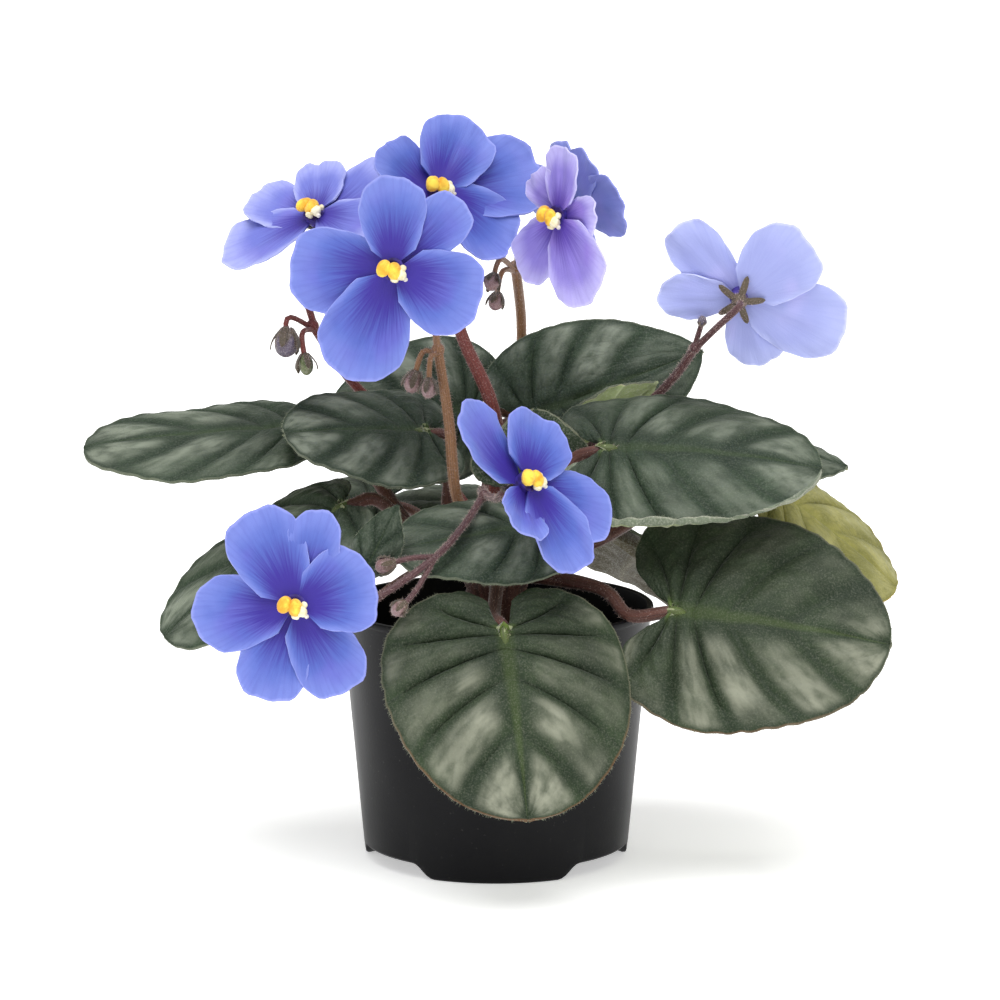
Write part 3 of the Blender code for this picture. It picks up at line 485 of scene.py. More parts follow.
def leaf_underside(name, body, vein, rim):
    material, paint, shader = new_material(name, 0.7, Sheen_Weight=0.2, Sheen_Roughness=0.4,
                                           Specular_IOR_Level=0.25)
    place, charted = places(paint, "map")
    pattern = paint.group("leaf_pattern", Map=charted)
    paler = tuple(min(1, 1.35 * value) for value in body)
    colour = paint.group("mottle", Place=place, Scale=90.0, First=body, Second=paler).outputs["Colour"]
    colour = paint.mix(pattern.outputs["Vein"], colour, vein)
    colour = paint.mix(pattern.outputs["Rib"], colour, vein)
    colour = paint.mix(pattern.outputs["Rim"], colour, rim)
    fuzz = paint.group("down", Place=place, Scale=1900.0, Colour=colour, Down=(0.62, 0.62, 0.52), Amount=0.5)
    paint.wire(fuzz.outputs["Colour"], shader.inputs["Base Color"])
    bump(paint, shader, fuzz.outputs["Height"], 0.5, 0.0003)
    return material


def stem_skin(name, first, second, down, amount=0.35):
    """Red-brown or tan stem skin with fine lengthwise streaks and down."""
    material, paint, shader = new_material(name, 0.5, Sheen_Weight=0.2, Sheen_Roughness=0.4,
                                           Specular_IOR_Level=0.35)
    place, charted = places(paint, "map")
    streaks = paint.noise(paint.scaled(charted, (14, 1.5, 1)), 1.0, 3.0, 0.6)
    colour = paint.mix(paint.step(streaks, 0.35, 0.68), first, second)
    patches = paint.group("mottle", Place=place, Scale=120.0, First=(0, 0, 0), Second=(1, 1, 1), Edge=0.2)
    colour = paint.mix(paint.maths("MULTIPLY", patches.outputs["Mask"], 0.35), colour, first)
    fuzz = paint.group("down", Place=place, Scale=2600.0, Colour=colour, Down=down, Amount=amount)
    paint.wire(fuzz.outputs["Colour"], shader.inputs["Base Color"])
    relief = paint.maths("ADD", paint.maths("MULTIPLY", streaks, 0.5),
                         paint.maths("MULTIPLY", fuzz.outputs["Height"], 0.5))
    bump(paint, shader, relief, 0.5, 0.00025)
    return material


def petal_skin(name, body, deep, edge, frill, blush, throat, sheen=0.35):
    material, paint, shader = new_material(name, 0.55, Sheen_Weight=sheen, Sheen_Roughness=0.3,
                                           Sheen_Tint=(0.80, 0.84, 1, 1), Specular_IOR_Level=0.3)
    place, charted = places(paint, "map")
    skin = paint.group("petal_skin", Map=charted, Place=place, Body=body, Deep=deep, Edge=edge, Frill=frill,
                       Blush=blush, Throat=throat)
    cells = paint.noise(place, 2600.0, 1.0)
    paint.wire(skin.outputs["Colour"], shader.inputs["Base Color"])
    relief = paint.maths("ADD", skin.outputs["Height"], paint.maths("MULTIPLY", cells, 0.35))
    bump(paint, shader, relief, 0.45, 0.00022)
    return material


def mottled(name, first, second, scale, roughness, depth=0.3, **values):
    """Plain tissue in two close colours with a fine grain."""
    material, paint, shader = new_material(name, roughness, **values)
    place = places(paint)
    colour = paint.group("mottle", Place=place, Scale=scale, First=first, Second=second, Edge=0.16)
    paint.wire(colour.outputs["Colour"], shader.inputs["Base Color"])
    bump(paint, shader, paint.noise(place, scale * 2.5, 3.0, 0.6), depth, 0.0003)
    return material


def pot_plastic():
    """Black satin plastic with faint flow marks and dust specks."""
    material, paint, shader = new_material("pot_plastic", 0.36, Specular_IOR_Level=0.10)
    place = places(paint)
    colour = paint.group("mottle", Place=place, Scale=40.0, First=(0.005, 0.005, 0.006),
                         Second=(0.008, 0.008, 0.009)).outputs["Colour"]
    specks = paint.step(paint.noise(place, 900.0, 2.0, 0.7), 0.66, 0.78)
    colour = paint.mix(paint.maths("MULTIPLY", specks, 0.12), colour, (0.20, 0.19, 0.17))
    paint.wire(colour, shader.inputs["Base Color"])
    flow = paint.noise(paint.scaled(place, (1, 1, 0.25)), 55.0, 3.0)
    paint.wire(paint.step(flow, 0.2, 0.8, 0.32, 0.43), shader.inputs["Roughness"])
    grain = paint.noise(place, 1500.0, 2.0, 0.6)
    bump(paint, shader, paint.maths("ADD", grain, paint.maths("MULTIPLY", flow, 1.5)), 0.12, 0.0002)
    return material


def bud_skin(name, first, second, tip_first, tip_second):
    """A closed bud: sepals round the tip of the folded petals."""
    material, paint, shader = new_material(name, 0.6, Sheen_Weight=0.3, Sheen_Roughness=0.35)
    place, charted = places(paint, "map")
    split = paint.node("ShaderNodeSeparateXYZ")
    paint.wire(charted, split.inputs[0])
    ragged = paint.maths("ADD", split.outputs[1],
                         paint.maths("MULTIPLY", paint.maths("COSINE", paint.maths("MULTIPLY", split.outputs[0], 5 * math.pi)), 0.10))
    tip = paint.step(ragged, 0.45, 0.62)
    colour = paint.group("mottle", Place=place, Scale=300.0, First=first, Second=second).outputs["Colour"]
    petals = paint.group("mottle", Place=place, Scale=260.0, First=tip_first, Second=tip_second).outputs["Colour"]
    colour = paint.mix(tip, colour, petals)
    fuzz = paint.group("down", Place=place, Scale=2600.0, Colour=colour, Down=(0.66, 0.60, 0.58), Amount=0.5)
    paint.wire(fuzz.outputs["Colour"], shader.inputs["Base Color"])
    bump(paint, shader, fuzz.outputs["Height"], 0.5, 0.00025)
    return material


def hair_skin(name, colour):
    material, paint, shader = new_material(name, 0.8, Specular_IOR_Level=0.1)
    paler = tuple(min(1, 1.3 * value) for value in colour)
    place = places(paint)
    tint = paint.group("mottle", Place=place, Scale=500.0, First=colour, Second=paler).outputs["Colour"]
    paint.wire(tint, shader.inputs["Base Color"])
    return material


make_leaf_pattern()
make_fuzz()
make_mottle()
make_petal_skin()

LEAF_LOOKS = {
    "leaf_green": (leaf_top("leaf_green_top", (0.011, 0.022, 0.011), (0.026, 0.047, 0.023), (0.25, 0.28, 0.215),
                            (0.10, 0.16, 0.035), (0.24, 0.26, 0.18), 0.82),
                   leaf_underside("leaf_green_underside", (0.20, 0.235, 0.12), (0.30, 0.33, 0.17), (0.40, 0.36, 0.22))),
    "young_leaf_green": (leaf_top("young_leaf_top", (0.014, 0.030, 0.014), (0.030, 0.056, 0.026), (0.17, 0.20, 0.14),
                                  (0.12, 0.17, 0.03), (0.34, 0.33, 0.22), 0.55),
                         leaf_underside("young_leaf_underside", (0.032, 0.054, 0.026), (0.070, 0.100, 0.045),
                                        (0.26, 0.28, 0.18))),
    "yellowing_leaf": (leaf_top("yellowing_leaf_top", (0.14, 0.14, 0.035), (0.30, 0.28, 0.075), (0.46, 0.44, 0.22),
                                (0.40, 0.40, 0.08), (0.62, 0.36, 0.10), 0.5),
                       leaf_underside("yellowing_leaf_underside", (0.30, 0.27, 0.10), (0.44, 0.38, 0.15),
                                      (0.66, 0.36, 0.09))),
}
# Front and low right leaves: the strongest painted sheen, kept to the lower part of the plant.
PAINTED_SHEEN_LOOKS = (leaf_top("leaf_silvered_top", (0.010, 0.020, 0.008), (0.025, 0.043, 0.017), (0.27, 0.28, 0.21),
                     (0.11, 0.17, 0.025), (0.22, 0.21, 0.14), 0.95, 0.35, True), LEAF_LOOKS["leaf_green"][1])
SHADED = (LEAF_LOOKS["leaf_green"][0],
          leaf_underside("leaf_shaded_underside", (0.060, 0.050, 0.030), (0.10, 0.085, 0.048), (0.16, 0.15, 0.09)))
FOLDED = (LEAF_LOOKS["leaf_green"][0],
          leaf_underside("leaf_folded_underside", (0.26, 0.32, 0.14), (0.40, 0.46, 0.24), (0.50, 0.46, 0.28)))
ROLLED_SKIN = leaf_underside("leaf_rolled_margin", (0.115, 0.140, 0.092), (0.20, 0.225, 0.155), (0.26, 0.275, 0.205))
SPECIAL_LOOKS = {"leaf_front": PAINTED_SHEEN_LOOKS, "leaf_right_low": PAINTED_SHEEN_LOOKS, "leaf_fold_right": FOLDED,
                 **dict.fromkeys(("leaf_rear_left", "leaf_rear_middle", "leaf_rear_right"), SHADED)}
PETAL_LOOKS = {
    "petal_blue": (petal_skin("petal_blue_face", (0.082, 0.128, 0.47), (0.036, 0.020, 0.27), (0.165, 0.215, 0.60),
                              (0.33, 0.36, 0.78), (0.135, 0.105, 0.50), 0.72),
                   petal_skin("petal_blue_back", (0.15, 0.19, 0.54), (0.09, 0.09, 0.44), (0.26, 0.30, 0.72),
                              (0.42, 0.45, 0.80), (0.22, 0.19, 0.60), 0.22)),
    "petal_violet": (petal_skin("petal_violet_face", (0.25, 0.20, 0.60), (0.080, 0.040, 0.34), (0.46, 0.42, 0.78),
                                (0.62, 0.60, 0.90), (0.26, 0.15, 0.60), 0.56),
                     petal_skin("petal_violet_back", (0.28, 0.25, 0.70), (0.15, 0.10, 0.52), (0.42, 0.38, 0.80),
                                (0.66, 0.64, 0.90), (0.32, 0.24, 0.68), 0.22)),
    "petal_pale": (petal_skin("petal_pale_face", (0.24, 0.27, 0.72), (0.10, 0.09, 0.46), (0.38, 0.42, 0.82),
                              (0.62, 0.65, 0.92), (0.30, 0.27, 0.72), 0.32),
                   petal_skin("petal_pale_back", (0.32, 0.355, 0.68), (0.20, 0.21, 0.56), (0.39, 0.43, 0.75),
                              (0.68, 0.70, 0.92), (0.46, 0.44, 0.80), 0.22)),
}
LIGHT_BLUE = (petal_skin("petal_light_face", (0.15, 0.175, 0.56), (0.045, 0.028, 0.30), (0.34, 0.37, 0.74),
                         (0.50, 0.53, 0.86), (0.20, 0.16, 0.58), 0.60), PETAL_LOOKS["petal_blue"][1])
STEM_LOOKS = {
    "petiole_brown": stem_skin("petiole_skin", (0.060, 0.020, 0.016), (0.15, 0.055, 0.038), (0.42, 0.30, 0.26)),
    "stalk_tan": stem_skin("stalk_tan_skin", (0.16, 0.070, 0.030), (0.34, 0.17, 0.070), (0.55, 0.42, 0.30)),
    "stalk_red": stem_skin("stalk_red_skin", (0.10, 0.018, 0.014), (0.25, 0.050, 0.036), (0.50, 0.28, 0.24)),
    "stalk_dark": stem_skin("stalk_dark_skin", (0.045, 0.017, 0.020), (0.12, 0.045, 0.044), (0.42, 0.30, 0.30)),
}
SEPAL_SKIN = stem_skin("sepal_skin", (0.050, 0.040, 0.026), (0.12, 0.085, 0.050), (0.40, 0.34, 0.28), 0.4)
JOINT_SKIN = stem_skin("joint_skin", (0.060, 0.075, 0.022), (0.10, 0.15, 0.032), (0.24, 0.28, 0.14), 0.25)
BUD_SKINS = {
    "dark": bud_skin("bud_dark", (0.070, 0.048, 0.030), (0.12, 0.085, 0.045), (0.050, 0.040, 0.070), (0.11, 0.085, 0.13)),
    "green": bud_skin("bud_green", (0.055, 0.080, 0.020), (0.12, 0.17, 0.045), (0.10, 0.13, 0.05), (0.20, 0.22, 0.10)),
    "red": bud_skin("bud_red", (0.075, 0.036, 0.026), (0.15, 0.085, 0.060), (0.20, 0.10, 0.10), (0.34, 0.22, 0.22)),
}
BUD_COLOURS = {"stalk_left": ("dark", "green"), "stalk_right": ("dark",)}
ANTHER_SKIN = mottled("anther_powder", (0.74, 0.34, 0.012), (0.95, 0.66, 0.06), 420.0, 0.7, 0.5, Sheen_Weight=0.2)
STYLE_SKIN = mottled("style_pale", (0.62, 0.55, 0.50), (0.82, 0.78, 0.72), 500.0, 0.5, 0.3)
CREAM_SKIN = mottled("cream_mass", (0.72, 0.62, 0.36), (0.90, 0.84, 0.62), 500.0, 0.6, 0.4)
THROAT_SKIN = mottled("throat_deep", (0.020, 0.008, 0.10), (0.05, 0.03, 0.30), 500.0, 0.6, 0.3)
SOIL_SKIN = mottled("soil_crumb", (0.018, 0.011, 0.007), (0.070, 0.042, 0.025), 420.0, 0.95, 0.8)
PERLITE_SKIN = mottled("perlite", (0.55, 0.54, 0.50), (0.78, 0.77, 0.74), 700.0, 0.9, 0.8)
LEAF_HAIR = hair_skin("leaf_hair", (0.26, 0.28, 0.20))
SHORT_HAIR = hair_skin("short_leaf_hair", (0.11, 0.135, 0.10))
STEM_HAIR = hair_skin("stem_hair", (0.52, 0.40, 0.36))
POT_SKIN = pot_plastic()


# ---------------------------------------------------------------- shaping

def sheet(name, across, along):
    """A new grid, with how far across (-1 to 1) and along (0 to 1) each of its corners lies."""
    bpy.ops.object.select_all(action="DESELECT")
    bpy.ops.mesh.primitive_grid_add(x_subdivisions=across, y_subdivisions=along, size=2)
    thing = bpy.context.active_object
    thing.name = thing.data.name = name
    thing.data.uv_layers.active.name = "map"
    spots = np.empty(len(thing.data.vertices) * 3, np.float32)
    thing.data.vertices.foreach_get("co", spots)
    spots = spots.reshape(-1, 3).astype(float)
    return thing, spots[:, 0], (spots[:, 1] + 1) / 2


def shape(thing, points):
    thing.data.vertices.foreach_set("co", np.asarray(points, np.float32).ravel())
    thing.data.update()


def points_of(thing, kind="co"):
    spots = np.empty(len(thing.data.vertices) * 3, np.float32)
    if kind == "co":
        thing.data.vertices.foreach_get("co", spots)
    else:
        thing.data.vertex_normals.foreach_get("vector", spots)
    return spots.reshape(-1, 3).astype(float)


def chart(thing, along=1.0):
    """The piece's map: -1 to 1 across, and 0 to the given number along."""
    layer = thing.data.uv_layers["map"].data
    spots = np.empty(len(layer) * 2, np.float32)
    layer.foreach_get("uv", spots)
    spots = spots.reshape(-1, 2)
    spots[:, 0] = spots[:, 0] * 2 - 1
    spots[:, 1] *= along
    layer.foreach_set("uv", spots.ravel())


def merge(thing, outwards, distance=0.004):
    """Corners that meet become one, and a closed shape's faces are turned outwards."""
    bpy.ops.object.select_all(action="DESELECT")
    bpy.context.view_layer.objects.active = thing
    thing.select_set(True)
    bpy.ops.object.mode_set(mode="EDIT")
    bpy.ops.mesh.select_all(action="SELECT")
    bpy.ops.mesh.remove_doubles(threshold=distance * MM)
    if outwards:
        bpy.ops.mesh.normals_make_consistent(inside=False)
    bpy.ops.object.mode_set(mode="OBJECT")


def thicken(thing, thickness, underside):
    """Gives a sheet its thickness, half to each side, and its underside a material of its own."""
    bpy.ops.object.select_all(action="DESELECT")
    bpy.context.view_layer.objects.active = thing
    thing.select_set(True)
    if underside:
        thing.data.materials.append(underside)
    bpy.ops.object.modifier_add(type="SOLIDIFY")
    wall = thing.modifiers[-1]
    wall.thickness = thickness * MM
    wall.offset = 0
    wall.use_even_offset = False
    wall.material_offset = 1 if underside else 0
    bpy.ops.object.modifier_apply(modifier=wall.name)


def joined(pieces, name):
    """One object from several."""
    bpy.ops.object.select_all(action="DESELECT")
    for piece in pieces:
        piece.select_set(True)
    bpy.context.view_layer.objects.active = pieces[0]
    if len(pieces) > 1:
        bpy.ops.object.join()
    pieces[0].name = pieces[0].data.name = name
    return pieces[0]


def smooth(thing, angle=60):
    bpy.ops.object.select_all(action="DESELECT")
    bpy.context.view_layer.objects.active = thing
    thing.select_set(True)
    bpy.ops.object.shade_smooth_by_angle(angle=math.radians(angle))


def hand_in(thing, node, angle=60):
    """The finished piece rides with the plant and stands for its node."""
    smooth(thing, angle)
    inside = (LOW + 2e-6, HIGH - 2e-6)
    shape(thing, np.clip(points_of(thing), *inside))
    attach(thing, "root")
    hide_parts(node)


def spline(points, count):
    """Points along a smooth curve through the given ones, evenly spaced."""
    given = [np.array(point, float) for point in points]
    ends = [2 * given[0] - given[1], *given, 2 * given[-1] - given[-2]]
    dense = []
    steps = 16
    for a, b, c, d in zip(ends, ends[1:], ends[2:], ends[3:]):
        for step in range(steps):
            t = step / steps
            dense.append(0.5 * (2 * b + (c - a) * t + (2 * a - 5 * b + 4 * c - d) * t * t
                                + (3 * b - a - 3 * c + d) * t ** 3))
    dense.append(given[-1])
    dense = np.array(dense)
    gone = np.concatenate([[0], np.cumsum(np.linalg.norm(np.diff(dense, axis=0), axis=1))])
    wanted = np.linspace(0, gone[-1], count)
    return np.stack([np.interp(wanted, gone, dense[:, axis]) for axis in range(dense.shape[1])], axis=1)


def wrapped(name, route, radii, sides, skin, swell=None):
    """A grid rolled up round a route and closed at both ends. Radii may vary round the route too."""
    route = np.array(route, float)
    count = len(route)
    thing, across, along = sheet(name, sides, count + 1)
    row = np.rint(along * (count + 1)).astype(int)
    index = np.clip(row - 1, 0, count - 1)
    tangents = np.gradient(route, axis=0)
    tangents /= np.linalg.norm(tangents, axis=1)[:, None]
    side = Vector(tangents[0]).orthogonal().normalized()
    sides_at, others_at = [], []
    for tangent in tangents:
        way = Vector(tangent)
        side = (side - way * side.dot(way)).normalized()
        sides_at.append(side[:])
        others_at.append(way.cross(side)[:])
    sides_at, others_at = np.array(sides_at), np.array(others_at)
    turn = math.pi * across
    radius = np.array(radii, float)[index]
    if swell is not None:
        radius = radius * swell(turn, index / (count - 1))
    radius[(row == 0) | (row == count + 1)] = 0
    spoke = np.cos(turn)[:, None] * sides_at[index] + np.sin(turn)[:, None] * others_at[index]
    shape(thing, (route[index] + spoke * radius[:, None]) * MM)
    chart(thing)
    merge(thing, True)
    thing.data.materials.append(skin)
    return thing


def turned(name, profile, sides, skin, change=None):
    """A grid rolled up round +Z to (radius, height) points in millimetres."""
    count = len(profile)
    thing, across, along = sheet(name, sides, count - 1)
    row = np.rint(along * (count - 1)).astype(int)
    spots = np.array(profile, float)[row]
    turn = math.pi * across
    radius, height = spots[:, 0], spots[:, 1]
    if change is not None:
        radius, height = change(turn, radius, height)
    shape(thing, np.stack([radius * np.cos(turn), radius * np.sin(turn), height], axis=1) * MM)
    chart(thing)
    merge(thing, True)
    thing.data.materials.append(skin)
    return thing


def spikes(name, feet, ways, lengths, radius, skin):
    """Hairs as closed three-sided points, the same form copied to every foot."""
    inside = np.all((feet + ways * lengths[:, None] > LOW + 1e-5) & (feet + ways * lengths[:, None] < HIGH - 1e-5), axis=1)
    feet, ways, lengths = feet[inside], ways[inside], lengths[inside]
    side = np.cross(ways, (0.31, 0.52, 0.80))
    side /= np.linalg.norm(side, axis=1)[:, None]
    other = np.cross(ways, side)
    foot = feet - ways * 0.15 * MM
    rings = [foot + radius * MM * (math.cos(turn) * side + math.sin(turn) * other)
             for turn in (0, TAU / 3, 2 * TAU / 3)]
    corners = np.stack([*rings, feet + ways * lengths[:, None]], axis=1).reshape(-1, 3)
    faces = (np.arange(len(feet)) * 4)[:, None, None] + np.array([[0, 1, 3], [1, 2, 3], [2, 0, 3], [0, 2, 1]])
    mesh = bpy.data.meshes.new(name)
    mesh.from_pydata(corners.tolist(), [], faces.reshape(-1, 3).tolist())
    mesh.uv_layers.new(name="map")
    mesh.materials.append(skin)
    thing = bpy.data.objects.new(name, mesh)
    bpy.context.scene.collection.objects.link(thing)
    return thing


def skin_spots(thing, count, chance, slots=None):
    """Random feet on a piece's faces, with the face normal at each."""
    mesh = thing.data
    mesh.calc_loop_triangles()
    triangles = np.empty(len(mesh.loop_triangles) * 3, np.int32)
    mesh.loop_triangles.foreach_get("vertices", triangles)
    triangles = triangles.reshape(-1, 3)
    if slots is not None:
        owner = np.empty(len(mesh.loop_triangles), np.int32)
        mesh.loop_triangles.foreach_get("polygon_index", owner)
        used = np.empty(len(mesh.polygons), np.int32)
        mesh.polygons.foreach_get("material_index", used)
        triangles = triangles[np.isin(used[owner], slots)]
    spots = points_of(thing)
    a, b, c = (spots[triangles[:, corner]] for corner in range(3))
    normal = np.cross(b - a, c - a)
    area = np.linalg.norm(normal, axis=1)
    picked = chance.choice(len(triangles), count, p=area / area.sum())
    first, second = chance.random(count), chance.random(count)
    over = first + second > 1
    first[over], second[over] = 1 - first[over], 1 - second[over]
    feet = a[picked] + (b - a)[picked] * first[:, None] + (c - a)[picked] * second[:, None]
    return feet, normal[picked] / area[picked][:, None]


def fur(thing, count, length, lean, seed, skin, slots=None, radius=0.06):
    """Hairs all over a piece, as an object to join to it."""
    chance = np.random.default_rng(seed)
    feet, ways = skin_spots(thing, count, chance, slots)
    ways = ways + chance.normal(0, lean, ways.shape)
    ways /= np.linalg.norm(ways, axis=1)[:, None]
    lengths = length * MM * chance.uniform(0.6, 1.25, count)
    return spikes("hairs", feet, ways, lengths, radius, skin)


# ---------------------------------------------------------------- pot and soil

def wall_radius(height):
    return BASE_RADIUS + (RIM_RADIUS - BASE_RADIUS) * height / POT_HEIGHT


def rounded(corner, before, after, radius, steps=4):
    """Points of a small round between two sides of a corner."""
    corner, before, after = (np.array(point, float) for point in (corner, before, after))
    start = corner + (before - corner) / np.linalg.norm(before - corner) * radius
    end = corner + (after - corner) / np.linalg.norm(after - corner) * radius
    shares = np.linspace(0, 1, steps)
    return [tuple((1 - t) ** 2 * start + 2 * t * (1 - t) * corner + t * t * end) for t in shares]


def eased(corners, radii):
    """An open profile with each inner corner rounded."""
    made = [corners[0]]
    for before, corner, after, radius in zip(corners, corners[1:], corners[2:], radii):
        made += rounded(corner, before, after, radius) if radius else [corner]
    return made + [corners[-1]]


def foot_height(turn, radius):
    """How high the foot ring's underside lies: on the ground, or up in one of the gaps."""
    height = np.zeros_like(radius)
    for number in range(FEET):
        middle = -math.pi / 2 + math.pi / 3 + TAU * number / FEET
        off = radius * np.sin(turn - middle)
        share = np.clip((ARCH_HALF_FOOT - np.abs(off)) / (ARCH_HALF_FOOT - ARCH_HALF_TOP), 0, 1)
        share[np.cos(turn - middle) < 0] = 0
        height = np.maximum(height, FOOT_HEIGHT * (1 - np.cos(math.pi * share)) / 2)
    return height


def pot():
    lip = POT_HEIGHT - LIP_HEIGHT
    corners = [(0, FLOOR_UNDERSIDE), (FOOT_INNER_RADIUS, FLOOR_UNDERSIDE), (FOOT_INNER_RADIUS, 0),
               (BASE_RADIUS - 0.1, 0), (wall_radius(4.3), 4.3), (wall_radius(20), 20), (wall_radius(42), 42),
               (wall_radius(lip) - 0.02, lip - 0.1), (RIM_RADIUS + LIP_BEAD, lip + 0.35),
               (RIM_RADIUS + LIP_BEAD, POT_HEIGHT), (RIM_RADIUS - POT_WALL + 0.1, POT_HEIGHT),
               (wall_radius(56) - POT_WALL, 56), (wall_radius(FLOOR_TOP) - POT_WALL, FLOOR_TOP), (0, FLOOR_TOP)]
    radii = (0.4, 0.4, 1.0, 0, 0, 0, 0.25, 0.35, 0.55, 0.4, 0, 0.8)

    def lift(turn, radius, height):
        rise = foot_height(turn, radius)
        top = 4.2
        low = height < top
        return radius, np.where(low, rise + height * (top - rise) / top, height)

    shell = turned("pot_shell", eased(corners, radii), 192, POT_SKIN, lift)
    cutters = []
    for number in range(DRAIN_HOLES):
        turn = TAU * (number + 0.5) / DRAIN_HOLES
        bpy.ops.object.select_all(action="DESELECT")
        bpy.ops.mesh.primitive_cylinder_add(vertices=32, radius=DRAIN_RADIUS * MM, depth=8 * MM, location=(
            DRAIN_CIRCLE * math.cos(turn) * MM, DRAIN_CIRCLE * math.sin(turn) * MM, 5 * MM))
        cutters.append(bpy.context.active_object)
    cutter = joined(cutters, "drain_cutter")
    bpy.ops.object.select_all(action="DESELECT")
    bpy.context.view_layer.objects.active = shell
    shell.select_set(True)
    bpy.ops.object.modifier_add(type="BOOLEAN")
    cut = shell.modifiers[-1]
    cut.operation = "DIFFERENCE"
    cut.object = cutter
    bpy.ops.object.modifier_apply(modifier=cut.name)
    bpy.data.objects.remove(cutter)
    hand_in(shell, "pot", 32)


def crumbs(name, count, low, high, edge, skin, chance):
    """Rough grains on the soil: one small faceted lump, copied, each turned and stretched its own way."""
    bpy.ops.object.select_all(action="DESELECT")
    bpy.ops.mesh.primitive_ico_sphere_add(subdivisions=1, radius=1)
    lump = bpy.context.active_object
    lump.name = name
    form = points_of(lump)
    faces = np.array([tuple(face.vertices) for face in lump.data.polygons])
    bpy.data.objects.remove(lump)
    corners = []
    for _ in range(count):
        out = edge * math.sqrt(chance.random())
        turn = TAU * chance.random()
        size = chance.uniform(low, high)
        rough = form * size * chance.uniform(0.7, 1.2, (len(form), 1)) * chance.uniform(0.6, 1.1, 3)
        rough = rough @ np.array(Matrix.Rotation(chance.uniform(0, 3), 3, Vector(chance.normal(size=3))))
        if out < TRUNK_FOOT_RADIUS + 1.5:
            out = TRUNK_FOOT_RADIUS + 1.5 + out
        rough += (out * math.cos(turn), out * math.sin(turn), soil_height(out, turn) + size * 0.25)
        corners.append(rough * MM)
    faces = np.concatenate([faces + len(form) * number for number in range(count)])
    mesh = bpy.data.meshes.new(name)
    mesh.from_pydata(np.concatenate(corners).tolist(), [], faces.tolist())
    mesh.uv_layers.new(name="map")
    mesh.materials.append(skin)
    thing = bpy.data.objects.new(name, mesh)
    bpy.context.scene.collection.objects.link(thing)
    return thing


def soil_height(radius, turn):
    edge = wall_radius(SOIL_EDGE) - POT_WALL - GAP
    spot = Vector((radius * math.cos(turn), radius * math.sin(turn), 0))
    lump = noise.fractal(spot * 0.16, 0.8, 2.0, 4)
    return SOIL_EDGE + SOIL_MOUND * (1 - (radius / edge) ** 2) + 0.9 * lump


def soil():
    floor = FLOOR_TOP + GAP
    socket = TRUNK_FOOT_RADIUS + GAP
    edge = wall_radius(SOIL_EDGE) - POT_WALL - GAP
    profile = [(0, floor), (wall_radius(floor) - POT_WALL - GAP, floor), (edge, SOIL_EDGE - 1.5)]
    profile += [(radius, 60) for radius in np.linspace(edge - 0.4, socket, 34)]
    profile += [(socket, SOCKET_FLOOR), (0, SOCKET_FLOOR)]

    def lumpy(turn, radius, height):
        top = height > 59
        made = height.copy()
        for number in np.nonzero(top)[0]:
            made[number] = soil_height(radius[number], turn[number])
        return radius, made

    body = turned("soil_body", profile, 120, SOIL_SKIN, lumpy)
    chance = np.random.default_rng(11)
    pieces = [body, crumbs("crumbs", 900, 0.35, 1.3, edge - 1.2, SOIL_SKIN, chance),
              crumbs("perlite", 45, 0.4, 1.0, edge - 1.5, PERLITE_SKIN, chance)]
    hand_in(joined(pieces, "soil_filling"), "soil", 30)


# ---------------------------------------------------------------- leaves

def turn_of(leaf):
    return (Matrix.Rotation(math.radians(leaf.heading), 4, "Z") @ Matrix.Rotation(-math.radians(leaf.pitch), 4, "Y")
            @ Matrix.Rotation(math.radians(leaf.roll), 4, "X"))


def frame_of(leaf):
    return Matrix.Translation(Vector(leaf.base)) @ turn_of(leaf)


def through(matrix, points):
    """Points moved by a matrix."""
    table = np.array(matrix)
    return points @ table[:3, :3].T + table[:3, 3]


def margin(leaf, teeth):
    """The half outline from notch to tip with round teeth, and its shares."""
    corners = [(0, RIB_HALF_WIDTH)]
    corners += [(x * leaf.length, y * leaf.width / 2) for x, y in LEAF_FORMS[leaf.form]]
    corners.append((leaf.length, 0))
    count = 401
    edge = spline(corners, count)
    share = np.linspace(0, 1, count)
    outward = np.gradient(edge, axis=0)
    outward = np.stack([-outward[:, 1], outward[:, 0]], axis=1)
    outward /= np.linalg.norm(outward, axis=1)[:, None]
    size = (0.30 if leaf.form == "closed" or leaf.cup == 4 else 0.18) * min(1, leaf.length / 45) * np.minimum(1, 12 * share) * np.minimum(1, 14 * (1 - share) + 0.2)
    tooth = np.abs(np.sin(math.pi * teeth * share)) ** 0.7 - 0.62
    return share, edge + outward * (size * tooth)[:, None]


def bent(leaf, x, y, z):
    """A flat blade's points on the drooping one."""
    curve = math.radians(leaf.bend) / leaf.length
    if abs(curve) < 1e-6:
        return np.stack([x, y, z], axis=1)
    turn = curve * x
    return np.stack([np.sin(turn) / curve + z * np.sin(turn), y,
                     (np.cos(turn) - 1) / curve + z * np.cos(turn)], axis=1)


